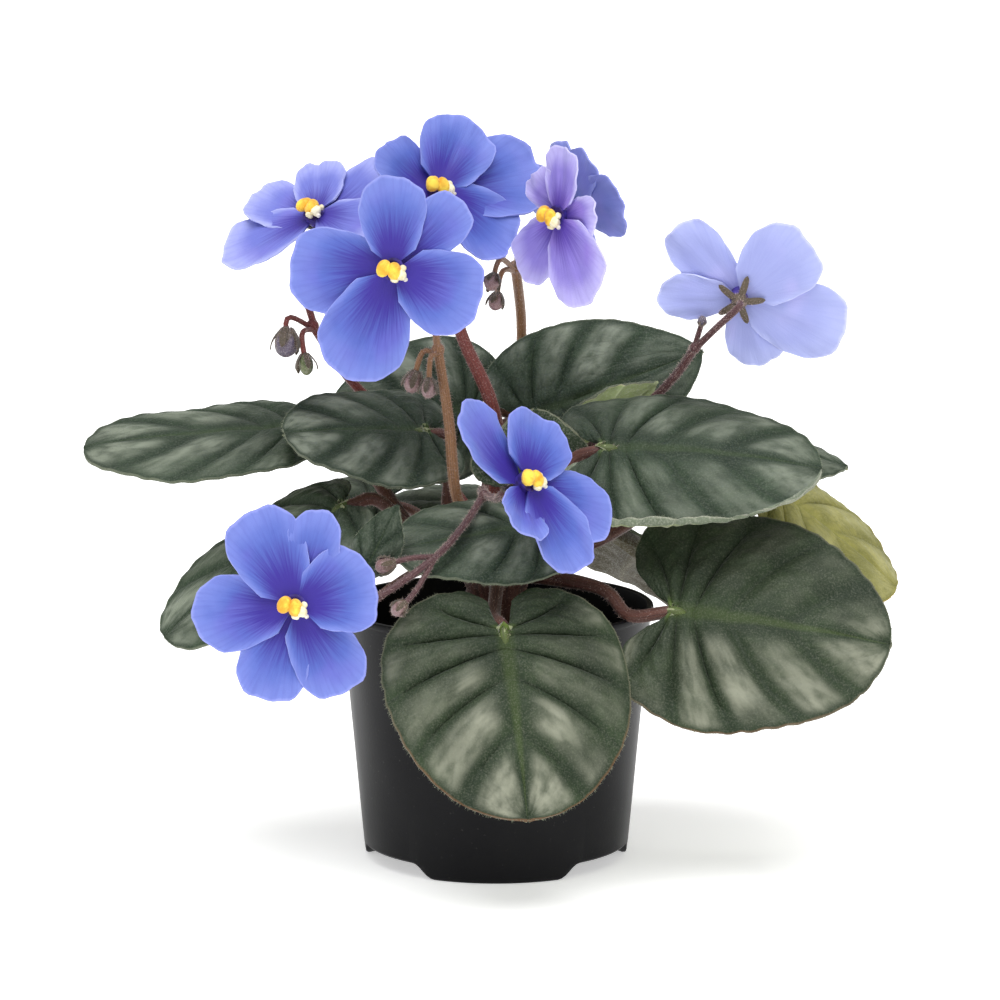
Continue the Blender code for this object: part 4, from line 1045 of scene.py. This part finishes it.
def leaf_blade(leaf, number):
    slot = LEAF_SLOTS.get(leaf.name, "leaf_green")
    top, underside = SPECIAL_LOOKS.get(leaf.name, LEAF_LOOKS[slot])
    hidden = leaf.name in ("leaf_rear_left", "leaf_rear_middle", "leaf_rear_right", "leaf_back_left")
    teeth = max(9, round(leaf.length * 0.36))
    per_tooth = 4 if not hidden else 3
    thing, across, along = sheet(leaf.name + "_blade", 52 if not hidden else 40, teeth * per_tooth)
    share = np.abs(across) ** 0.85
    shares, edge = margin(leaf, teeth)
    rear = np.arctan2(edge[:200, 1], edge[:200, 0]).argmax()
    place = shares[rear] + (1 - shares[rear]) * along
    out_x, out_y = np.interp(place, shares, edge[:, 0]), np.interp(place, shares, edge[:, 1])
    start = leaf.length * along ** 3.4
    keep, pull = (1 - share) ** 2, 2 * share * (1 - share)
    x = keep * start + pull * (start + 0.36 * (out_x - start)) + share ** 2 * out_x
    y = pull * 0.66 * out_y + share ** 2 * out_y
    slit = np.concatenate([[(0, 0)], edge[:rear + 1]])
    gone = np.concatenate([[0], np.cumsum(np.linalg.norm(np.diff(slit, axis=0), axis=1))])
    hold = np.clip(1 - along / 0.06, 0, 1) ** 2
    x += hold * (np.interp(share, gone / gone[-1], slit[:, 0]) - x)
    y += hold * (np.interp(share, gone / gone[-1], slit[:, 1]) - y)
    rows = 2 * leaf.veins
    row = rows * along
    ends = np.sin(math.pi * np.minimum(row + 1, rows - row) / rows) ** 0.5
    quilt = 0.022 * leaf.width * np.sin(math.pi * np.minimum(1, share * 1.1)) ** 0.6 + 0.12 * share
    phase = np.abs(np.sin(math.pi * leaf.veins * along))
    pillow = 2 * phase ** 0.7 - 1
    cross = np.sin(share * math.pi * 9 + 1.7 * np.sin(3.1 * row + number)) * phase
    droop = leaf.cup * (2 * y / leaf.width) ** 2
    calm = 1.0 if leaf.cup == 4 or leaf.form == "closed" else 0.55
    waving = calm * leaf.wave * np.sin(row * TAU * 2.5 / rows + leaf.heading) * share ** 3 * np.minimum(1, row / 2)
    ruffle = 0.35 * calm * np.sin(row * TAU * 1.3 + 2 * number) * share ** 4 * np.minimum(1, row)
    z = ends * quilt * (pillow + 0.24 * cross) - droop + waving + ruffle
    z -= 0.8 * np.exp(-(y / 0.9) ** 2) * (1 - along) ** 0.5 * np.minimum(1, row)
    side = -np.sign(across)
    far, times = WIDER.get(leaf.name, (0, 1))
    y = np.where(side == far, y * times, y)
    near, radius = CURLED.get(leaf.name, (0, 0))
    roll = 2.5 * np.clip((share - ROLLED_FROM) / (1 - ROLLED_FROM), 0, 1) * (side == near)
    fade = np.sin(math.pi * np.minimum(1, along ** 0.9)) ** 0.6 * (roll > 0)
    radius = radius * (0.86 + 0.14 * pillow + 0.16 * np.sin(7.3 * row + 1.1 * np.sin(2.9 * row)))
    y += fade * (y * (ROLLED_FROM / np.maximum(share, ROLLED_FROM) - 1) + radius * np.sin(roll))
    z += fade * radius * (1 - np.cos(roll))
    points = bent(leaf, x, side * y, z)
    local = points.copy()
    shape(thing, through(frame_of(leaf), points) * MM)
    chart(thing, leaf.veins)
    thing.data.materials.append(top)
    thicken(thing, BLADE_THICKNESS, underside)
    count = len(across)
    spots, normals = points_of(thing), points_of(thing, "normal")
    depth = RIB_DEPTH * (1 - along) ** 0.7 * np.exp(-(y / 1.15) ** 2)
    vein = 0.55 * np.exp(-((phase / 0.22) ** 2)) * (1 - 0.6 * share) * (share > 0.03)
    spots[count:] -= normals[:count] * (np.maximum(depth, vein) * MM)[:, None]
    shape(thing, spots)
    if leaf.name in CURLED:
        thing.data.materials.append(ROLLED_SKIN)
        corners = np.empty(len(thing.data.polygons) * 4, np.int32)
        thing.data.polygons.foreach_get("vertices", corners)
        corners = corners.reshape(-1, 4) % count
        rolled = np.all((roll[corners] > 1.0) & (side[corners] == near), axis=1)
        used = np.empty(len(rolled), np.int32)
        thing.data.polygons.foreach_get("material_index", used)
        used[rolled] = 2
        thing.data.polygons.foreach_set("material_index", used)
    # Hairs on the margin, then on both faces
    chance = np.random.default_rng(100 + number)
    flat = np.abs(across) > 0.999
    world = through(frame_of(leaf), local) * MM
    order = np.nonzero(flat)[0]
    inner = {}
    rim, ways = [], []
    lanes = 52 if not hidden else 40
    grid = world.reshape(teeth * per_tooth + 1, lanes + 1, 3)
    for lane, near in ((0, 3), (lanes, lanes - 3)):
        line, back = grid[:, lane], grid[:, near]
        gone = np.concatenate([[0], np.cumsum(np.linalg.norm(np.diff(line, axis=0), axis=1))])
        many = int(gone[-1] / MM * (2.6 if not hidden else 2.0))
        wanted = np.sort(chance.uniform(0.09, 1, many)) * gone[-1]
        foot = np.stack([np.interp(wanted, gone, line[:, axis]) for axis in range(3)], axis=1)
        behind = np.stack([np.interp(wanted, gone, back[:, axis]) for axis in range(3)], axis=1)
        way = foot - behind
        way /= np.maximum(np.linalg.norm(way, axis=1), 1e-9)[:, None]
        rim.append(foot)
        ways.append(way)
    feet, ways = np.concatenate(rim), np.concatenate(ways)
    ways = ways + chance.normal(0, 0.38, ways.shape)
    ways /= np.linalg.norm(ways, axis=1)[:, None]
    lengths = chance.uniform(0.4, 1.0, len(feet)) * MM * min(1, 0.5 + leaf.length / 80)
    pieces = [thing, spikes("margin_hairs", feet, ways, lengths, 0.05, LEAF_HAIR)]
    area = leaf.length * leaf.width
    pieces.append(fur(thing, int(area * (0.9 if not hidden else 0.3)), 0.6, 0.45, 200 + number, SHORT_HAIR, (0, 1), 0.03))
    hand_in(joined(pieces, leaf.name + "_blade"), leaf.name)


def petiole(leaf):
    """The leaf's stem, from the crown up to and under the blade's notch."""
    place = frame_of(leaf)
    slim = min(1, 0.45 + leaf.length / 90)
    slope = math.radians(leaf.arrive)
    clear = 2.8 if leaf.form in ("round", "closed") else 2.0
    behind = clear * GAP + slim * PETIOLE_RADIUS * math.sin(slope)
    end = place @ Vector((-behind, 0, -1.0))
    along = place.to_3x3() @ Vector((math.cos(slope), 0, math.sin(slope)))
    toward = Vector(leaf.via or leaf.base)
    flat = Vector((toward.x, toward.y, 0)).normalized()
    start = flat * 3 + Vector((0, 0, leaf.root))
    reach = (end - start).length
    knee = Vector(leaf.via) if leaf.via else start + flat * reach * 0.32 + Vector((0, 0, reach * 0.05))
    before = end - along * reach * 0.22
    route = spline((start, knee, before, end), 26)
    onward = [place @ Vector((1.2, 0, -1.15)), place @ Vector((4.0, 0, -1.25))]
    radii = np.interp(np.arange(26), (0, 13, 25), (PETIOLE_ROOT_RADIUS, PETIOLE_RADIUS, PETIOLE_RADIUS * 0.95)) * slim
    route = np.concatenate([route, np.array([point[:] for point in onward])])
    radii = np.concatenate([radii, [1.2 * slim, 0.75 * slim]])
    return wrapped(leaf.name + "_petiole", route, radii, 14, STEM_LOOKS["petiole_brown"],
                   lambda turn, share: 1 + 0.035 * np.cos(3 * turn + 9 * share))


def crown():
    profile = [(0, 43.3), (6, 43.3), (6, 52.5), (6.9, 60), (7.65, 68), (8.5, 74), (9, 80), (8.8, 84), (8.3, 87),
               (6.9, 89.6), (4.95, 91), (2.5, 91.8), (0, 92)]

    def scarred(turn, radius, height):
        ring = 0.35 * np.sin(height * 1.6 + np.cos(3 * turn)) * np.clip((height - 53) / 6, 0, 1) * (height < 90)
        return radius + ring * (radius > 1), height

    fine = [tuple(point) for point in spline(profile[2:-1], 30)]
    trunk = turned("trunk", profile[:2] + fine + profile[-1:], 40, STEM_LOOKS["petiole_brown"], scarred)
    petioles = [petiole(leaf) for leaf in LEAVES]
    joints = []
    for leaf in LEAVES:
        place, slim = frame_of(leaf), min(1, 0.45 + leaf.length / 90)
        centre = place @ Vector((0.4, 0, -0.75))
        joints.append(lobe(leaf.name + "_joint", centre, place.to_3x3() @ Vector((1, 0, 0.05)), 6.5 * slim, 1.55 * slim,
                           JOINT_SKIN))
    body = joined([trunk] + petioles + joints, "crown_body")
    down = fur(body, 9000, 0.75, 0.35, 31, STEM_HAIR, None, 0.045)
    hand_in(joined([body, down], "crown_with_petioles"), "crown")


# ---------------------------------------------------------------- blooms

def bloom_frame(bloom):
    """A bloom's placement in millimetres: its own Z faces out of the throat, and its own Y is up."""
    azimuth, rise = math.radians(bloom.azimuth), math.radians(bloom.rise)
    face = Vector((math.sin(azimuth) * math.cos(rise), -math.cos(azimuth) * math.cos(rise), math.sin(rise)))
    right = Vector((0, 0, 1)).cross(face).normalized()
    up = face.cross(right)
    return Matrix.Translation(Vector(bloom.centre)) @ Matrix((right, up, face)).transposed().to_4x4()


def half_width(share, width):
    return width * 0.73 * (share * 0.92 + 0.08) ** 0.48 * np.sqrt(np.maximum(0, 1 - share ** 3.8))


def petal(bloom, order, angle, length, width, lift, looks):
    """One petal on the layer that its solid has, fanned out from its root."""
    seed = order * 1.7 + len(bloom.name) * 0.9 + bloom.azimuth * 0.05
    thing, across, along = sheet("petal", 34, 28)
    shares = np.linspace(0.16, 1, 90)
    half = half_width(shares, width)
    out = PETAL_ROOT + (length - PETAL_ROOT) * shares
    outline = np.concatenate([np.stack([out, half], axis=1), np.stack([out, -half], axis=1)[-2::-1]])
    gone = np.concatenate([[0], np.cumsum(np.linalg.norm(np.diff(outline, axis=0), axis=1))])
    gone /= gone[-1]
    place = (across + 1) / 2
    edge_x = np.interp(place, gone, outline[:, 0])
    edge_y = np.interp(place, gone, outline[:, 1])
    wobble = 0.32 * np.sin(7 * math.pi * place + seed) + 0.22 * np.sin(17 * math.pi * place + 2 * seed)
    far = np.hypot(edge_x, edge_y)
    edge_x, edge_y = edge_x * (1 + wobble / far), edge_y * (1 + wobble / far)
    go = along ** 0.9
    x = PETAL_ROOT + (edge_x - PETAL_ROOT) * go
    y = -across * 0.9 + (edge_y + across * 0.9) * go
    share = np.clip((x - PETAL_ROOT) / (length - PETAL_ROOT), 0, 1)
    column = np.clip(y / np.maximum(half_width(np.minimum(share, 0.97), width), 0.5), -1.1, 1.1)
    rise = 0.04 * width * (column ** 2 - 0.35) * (1 - 0.4 * share)
    rise += 0.3 * np.sin(3.1 * column + 5 * share + angle) * share
    rise += 0.40 * along ** 4 * np.sin(9 * math.pi * place + 3 * seed)
    rise += 0.14 * along ** 3 * np.sin(21 * math.pi * place + seed)
    rise -= 0.45 * np.exp(-(column / 0.16) ** 2) * np.sin(math.pi * np.minimum(1, share * 1.05))
    rise += 0.18 * np.sin(8 * column + seed) * np.sin(math.pi * share)
    rise *= 0.25 + 0.75 * np.clip((share - 0.15) / 0.45, 0, 1)
    slope = np.radians(lift) * np.minimum(1, 1.5 * share)
    points = np.stack([x * np.cos(slope) - rise * np.sin(slope), y, x * np.sin(slope) + rise * np.cos(slope)], axis=1)
    points = through(Matrix.Rotation(math.radians(90 - angle), 4, "Z"), points) + (0, 0, PETAL_LEVELS[order])
    shape(thing, through(bloom_frame(bloom), points) * MM)
    chart(thing)
    thing.data.materials.append(looks[0])
    thicken(thing, PETAL_THICKNESS, looks[1])
    return thing


def put(thing, matrix):
    """Moves a piece's mesh, which is in metres, by a matrix in millimetres."""
    shape(thing, through(matrix, points_of(thing) / MM) * MM)
    return thing


def corolla(bloom):
    slot = PETAL_SLOTS.get(bloom.name, "petal_blue")
    looks = LIGHT_BLUE if bloom.name == "top_left" else PETAL_LOOKS[slot]
    place = bloom_frame(bloom)
    pieces = [petal(bloom, order, *values, looks) for order, values in enumerate(bloom.petals)]
    profile = [(0, 0.1), (1.0, 0.2), (1.7, 0.55), (2.3, 0.9), (2.9, 0.75), (2.75, 0.1), (THROAT_RADIUS, -1.3),
               (2.2, -2.4), (1.8, -THROAT_BACK), (0, -THROAT_BACK)]
    pieces.append(put(turned("throat", profile, 32, THROAT_SKIN), place))
    hand_in(joined(pieces, "corolla_" + bloom.name + "_petals"), "corolla_" + bloom.name)


def lobe(name, centre, axis, length, radius, skin, swell=None, sides=18, rings=12):
    """An egg of this length along its axis."""
    axis = np.array(Vector(axis).normalized())
    turn = np.linspace(0, math.pi, rings + 2)[1:-1]
    route = np.array(centre) - np.cos(turn)[:, None] * axis * length / 2
    return wrapped(name, route, radius * np.sin(turn), sides, skin, swell)


def anthers(bloom):
    place = bloom_frame(bloom)
    pieces = []
    for side in (-1, 1):
        centre = (side * 1.35 - 0.9, -side * 0.35, 3.0)
        pieces.append(lobe(f"lobe_{side}", centre, (0.25 - 0.3 * side, 1, 0.1 * side), 4.6, 1.75, ANTHER_SKIN,
                           lambda turn, share, side=side: 1 - 0.16 * np.exp(-((np.abs(turn) - 1.5) / 0.3) ** 2)
                           + 0.06 * np.sin(3 * turn + 4 * share + side)))
        pieces.append(wrapped(f"filament_{side}", spline(((side * 0.5 - 0.3, 0, 0.3), (side * 0.9 - 0.6, -0.2, 1.2),
                                                          (side * 1.2 - 0.9, -side * 0.3, 2.4)), 6),
                              np.full(6, 0.45), 8, ANTHER_SKIN))
    route = spline(((0.9, -0.6, 0.6), (2.0, -1.3, 1.6), (3.0, -2.2, 2.3), (3.5, -2.9, 2.4)), 14)
    radii = np.interp(np.arange(14), (0, 9, 11, 12.4, 13), (0.34, 0.32, 0.55, 0.60, 0.35))
    pieces.append(wrapped("style", route, radii, 10, STYLE_SKIN))
    for spot, size in (((2.0, -1.3, 2.7), 1.4), ((0.5, -2.3, 2.4), 1.05), ((2.6, 0.4, 2.3), 0.8)):
        pieces.append(lobe("cream_mass", spot, (0.6, -0.5, 0.4), size * 2.2, size, CREAM_SKIN,
                           lambda turn, share: 1 + 0.10 * np.sin(3 * turn + 5 * share), 14, 10))
    thing = put(joined(pieces, "anthers_" + bloom.name + "_lobes"), place)
    hand_in(thing, "anthers_" + bloom.name)


def sepal(place, turn, back):
    """A narrow pointed sepal that spreads behind the petals."""
    thing, across, along = sheet("sepal", 6, 12)
    x = 1.0 + 5.5 * along
    y = -across * (0.95 * np.sqrt(np.maximum(0, 1 - along ** 2.2)) * (0.75 + 0.5 * along) + 0.02)
    z = back - 1.2 + 1.7 * along ** 2 + 0.25 * np.abs(across) * (1 - along)
    points = through(Matrix.Rotation(turn, 4, "Z"), np.stack([x, y, z], axis=1))
    shape(thing, through(place, points) * MM)
    chart(thing)
    thing.data.materials.append(SEPAL_SKIN)
    thicken(thing, 0.5, None)
    return thing


def bud_sepal(place, turn, size, number):
    """A sepal that lies along a bud and stands off at its tip."""
    thing, across, along = sheet("bud_sepal", 4, 8)
    spread = 0.2 + 0.2 * math.sin(2.3 * number + size)
    x = size * (0.45 + 0.75 * np.sin(math.pi * along * 0.62)) + spread * along ** 2
    y = -across * 0.36 * size * (np.sqrt(np.maximum(0, 1 - along ** 2)) * (0.7 + 0.6 * along) + 0.03)
    z = size * (-1.25 + 2.05 * along)
    points = through(Matrix.Rotation(turn, 4, "Z"), np.stack([x, y, z], axis=1))
    shape(thing, through(place, points) * MM)
    chart(thing)
    thing.data.materials.append(SEPAL_SKIN)
    thicken(thing, 0.3, None)
    return thing


def stalk(spec):
    blooms = {bloom.name: bloom for bloom in BLOOMS}
    skin = STEM_LOOKS["stalk_" + spec.colour]
    count = 10 * len(spec.route)
    route = spline(spec.route, count)
    radii = np.linspace(spec.radius, spec.radius * 0.85, count)
    knots = lambda turn, share: 1 + 0.04 * np.sin(2 * turn + 6 * share)
    pieces = [wrapped(spec.name + "_main", route, radii, 12, skin, knots)]
    fork = np.array(spec.route[-1], float)
    back_way = fork - np.array(spec.route[-2], float)
    inside = fork - back_way / np.linalg.norm(back_way) * 1.5
    pieces.append(lobe("knuckle", fork, back_way, 3.6, spec.radius * 1.12, skin))
    for name, between in spec.pedicels:
        place = bloom_frame(blooms[name])
        back = -(THROAT_BACK + GAP)
        end = place @ Vector((0, 0, back - 2.2))
        before = place @ Vector((0, 0, back - 6.2))
        way = spline((inside, *between, before, end), 14 + 6 * len(between))
        pieces.append(wrapped("pedicel", way, np.linspace(0.95, 0.85, len(way)), 10, skin, knots))
        cup = [place @ Vector((0, 0, back - depth)) for depth in (2.8, 2.3, 1.5, 0.8, 0.2, 0)]
        pieces.append(wrapped("cup", cup, (0.95, 1.35, 1.85, 2.05, 1.95, 1.6), 14, SEPAL_SKIN,
                              lambda turn, share: 1 + 0.07 * np.cos(5 * turn)))
        pieces += [sepal(place, TAU * (number + 0.5) / 5, back) for number in range(5)]
    looks = BUD_COLOURS.get(spec.name, ("red", "red"))
    for (tip, middle, size, *side), look in zip(spec.buds, looks):
        way = spline((side[0] if side else inside, middle, tip), 12)
        pieces.append(wrapped("bud_stem", way, np.full(len(way), 0.7), 8, skin, knots))
        lean = Vector(tip) - Vector(middle)
        slender = 0.8 if look == "green" else 1.0
        pieces.append(lobe("bud", tip, lean, size * 2.6, size * slender, BUD_SKINS[look],
                           lambda turn, share: 1 + 0.10 * np.cos(5 * turn) * np.sin(math.pi * share), 20, 14))
        if size > 1.5:
            cup = Matrix.Translation(Vector(tip)) @ lean.to_track_quat("Z", "Y").to_matrix().to_4x4()
            pieces += [bud_sepal(cup, TAU * (number + 0.3) / 5, size, number) for number in range(5)]
    body = joined(pieces, spec.name + "_body")
    down = fur(body, 1500 + 700 * len(spec.pedicels) + 350 * len(spec.buds), 0.7, 0.35, 60 + len(spec.name),
               STEM_HAIR, None, 0.04)
    hand_in(joined([body, down], spec.name + "_stem"), spec.name)


# ---------------------------------------------------------------- studio

FLOOR_GLOW = 0.46


def studio():
    world = bpy.data.worlds.new("white_room")
    bpy.context.scene.world = world
    world.use_nodes = True
    world.node_tree.nodes["Background"].inputs[0].default_value = (1, 1, 1, 1)
    world.node_tree.nodes["Background"].inputs[1].default_value = 0.50
    bpy.ops.object.select_all(action="DESELECT")
    bpy.ops.mesh.primitive_circle_add(vertices=96, radius=14, fill_type="NGON", location=(0, 0, 0))
    floor = bpy.context.active_object
    floor.name = "studio_floor"
    material, paint, shader = new_material("floor_paper", 0.9, Specular_IOR_Level=0.1)
    tint = paint.group("mottle", Place=places(paint), Scale=3.0, First=(0.93, 0.93, 0.93), Second=(0.95, 0.95, 0.95))
    paint.wire(tint.outputs["Colour"], shader.inputs["Base Color"])
    shader.inputs["Emission Color"].default_value = (1, 1, 1, 1)
    shader.inputs["Emission Strength"].default_value = FLOOR_GLOW
    floor.data.materials.append(material)
    sky = bpy.data.lights.new("top_light", "SUN")
    sky.energy = 2.9
    sky.angle = math.radians(55)
    panel = bpy.data.lights.new("front_panel", "AREA")
    panel.shape = "RECTANGLE"
    panel.size, panel.size_y = 0.14, 0.5
    panel.energy = 1.3
    for lamp, spot in ((sky, (-0.02, -0.46, 1.6)), (panel, (-0.02, -1.2, 0.20))):
        light = bpy.data.objects.new(lamp.name, lamp)
        bpy.context.scene.collection.objects.link(light)
        light.location = spot
        light.rotation_euler = (Vector((0, 0, 0.08)) - Vector(spot)).to_track_quat("-Z", "Y").to_euler()
    bpy.context.scene.view_settings.view_transform = "Standard"


set_camera()
pot()
soil()
crown()
for number, leaf in enumerate(LEAVES):
    leaf_blade(leaf, number)
for spec in STALKS:
    stalk(spec)
for bloom in BLOOMS:
    corolla(bloom)
    anthers(bloom)
studio()
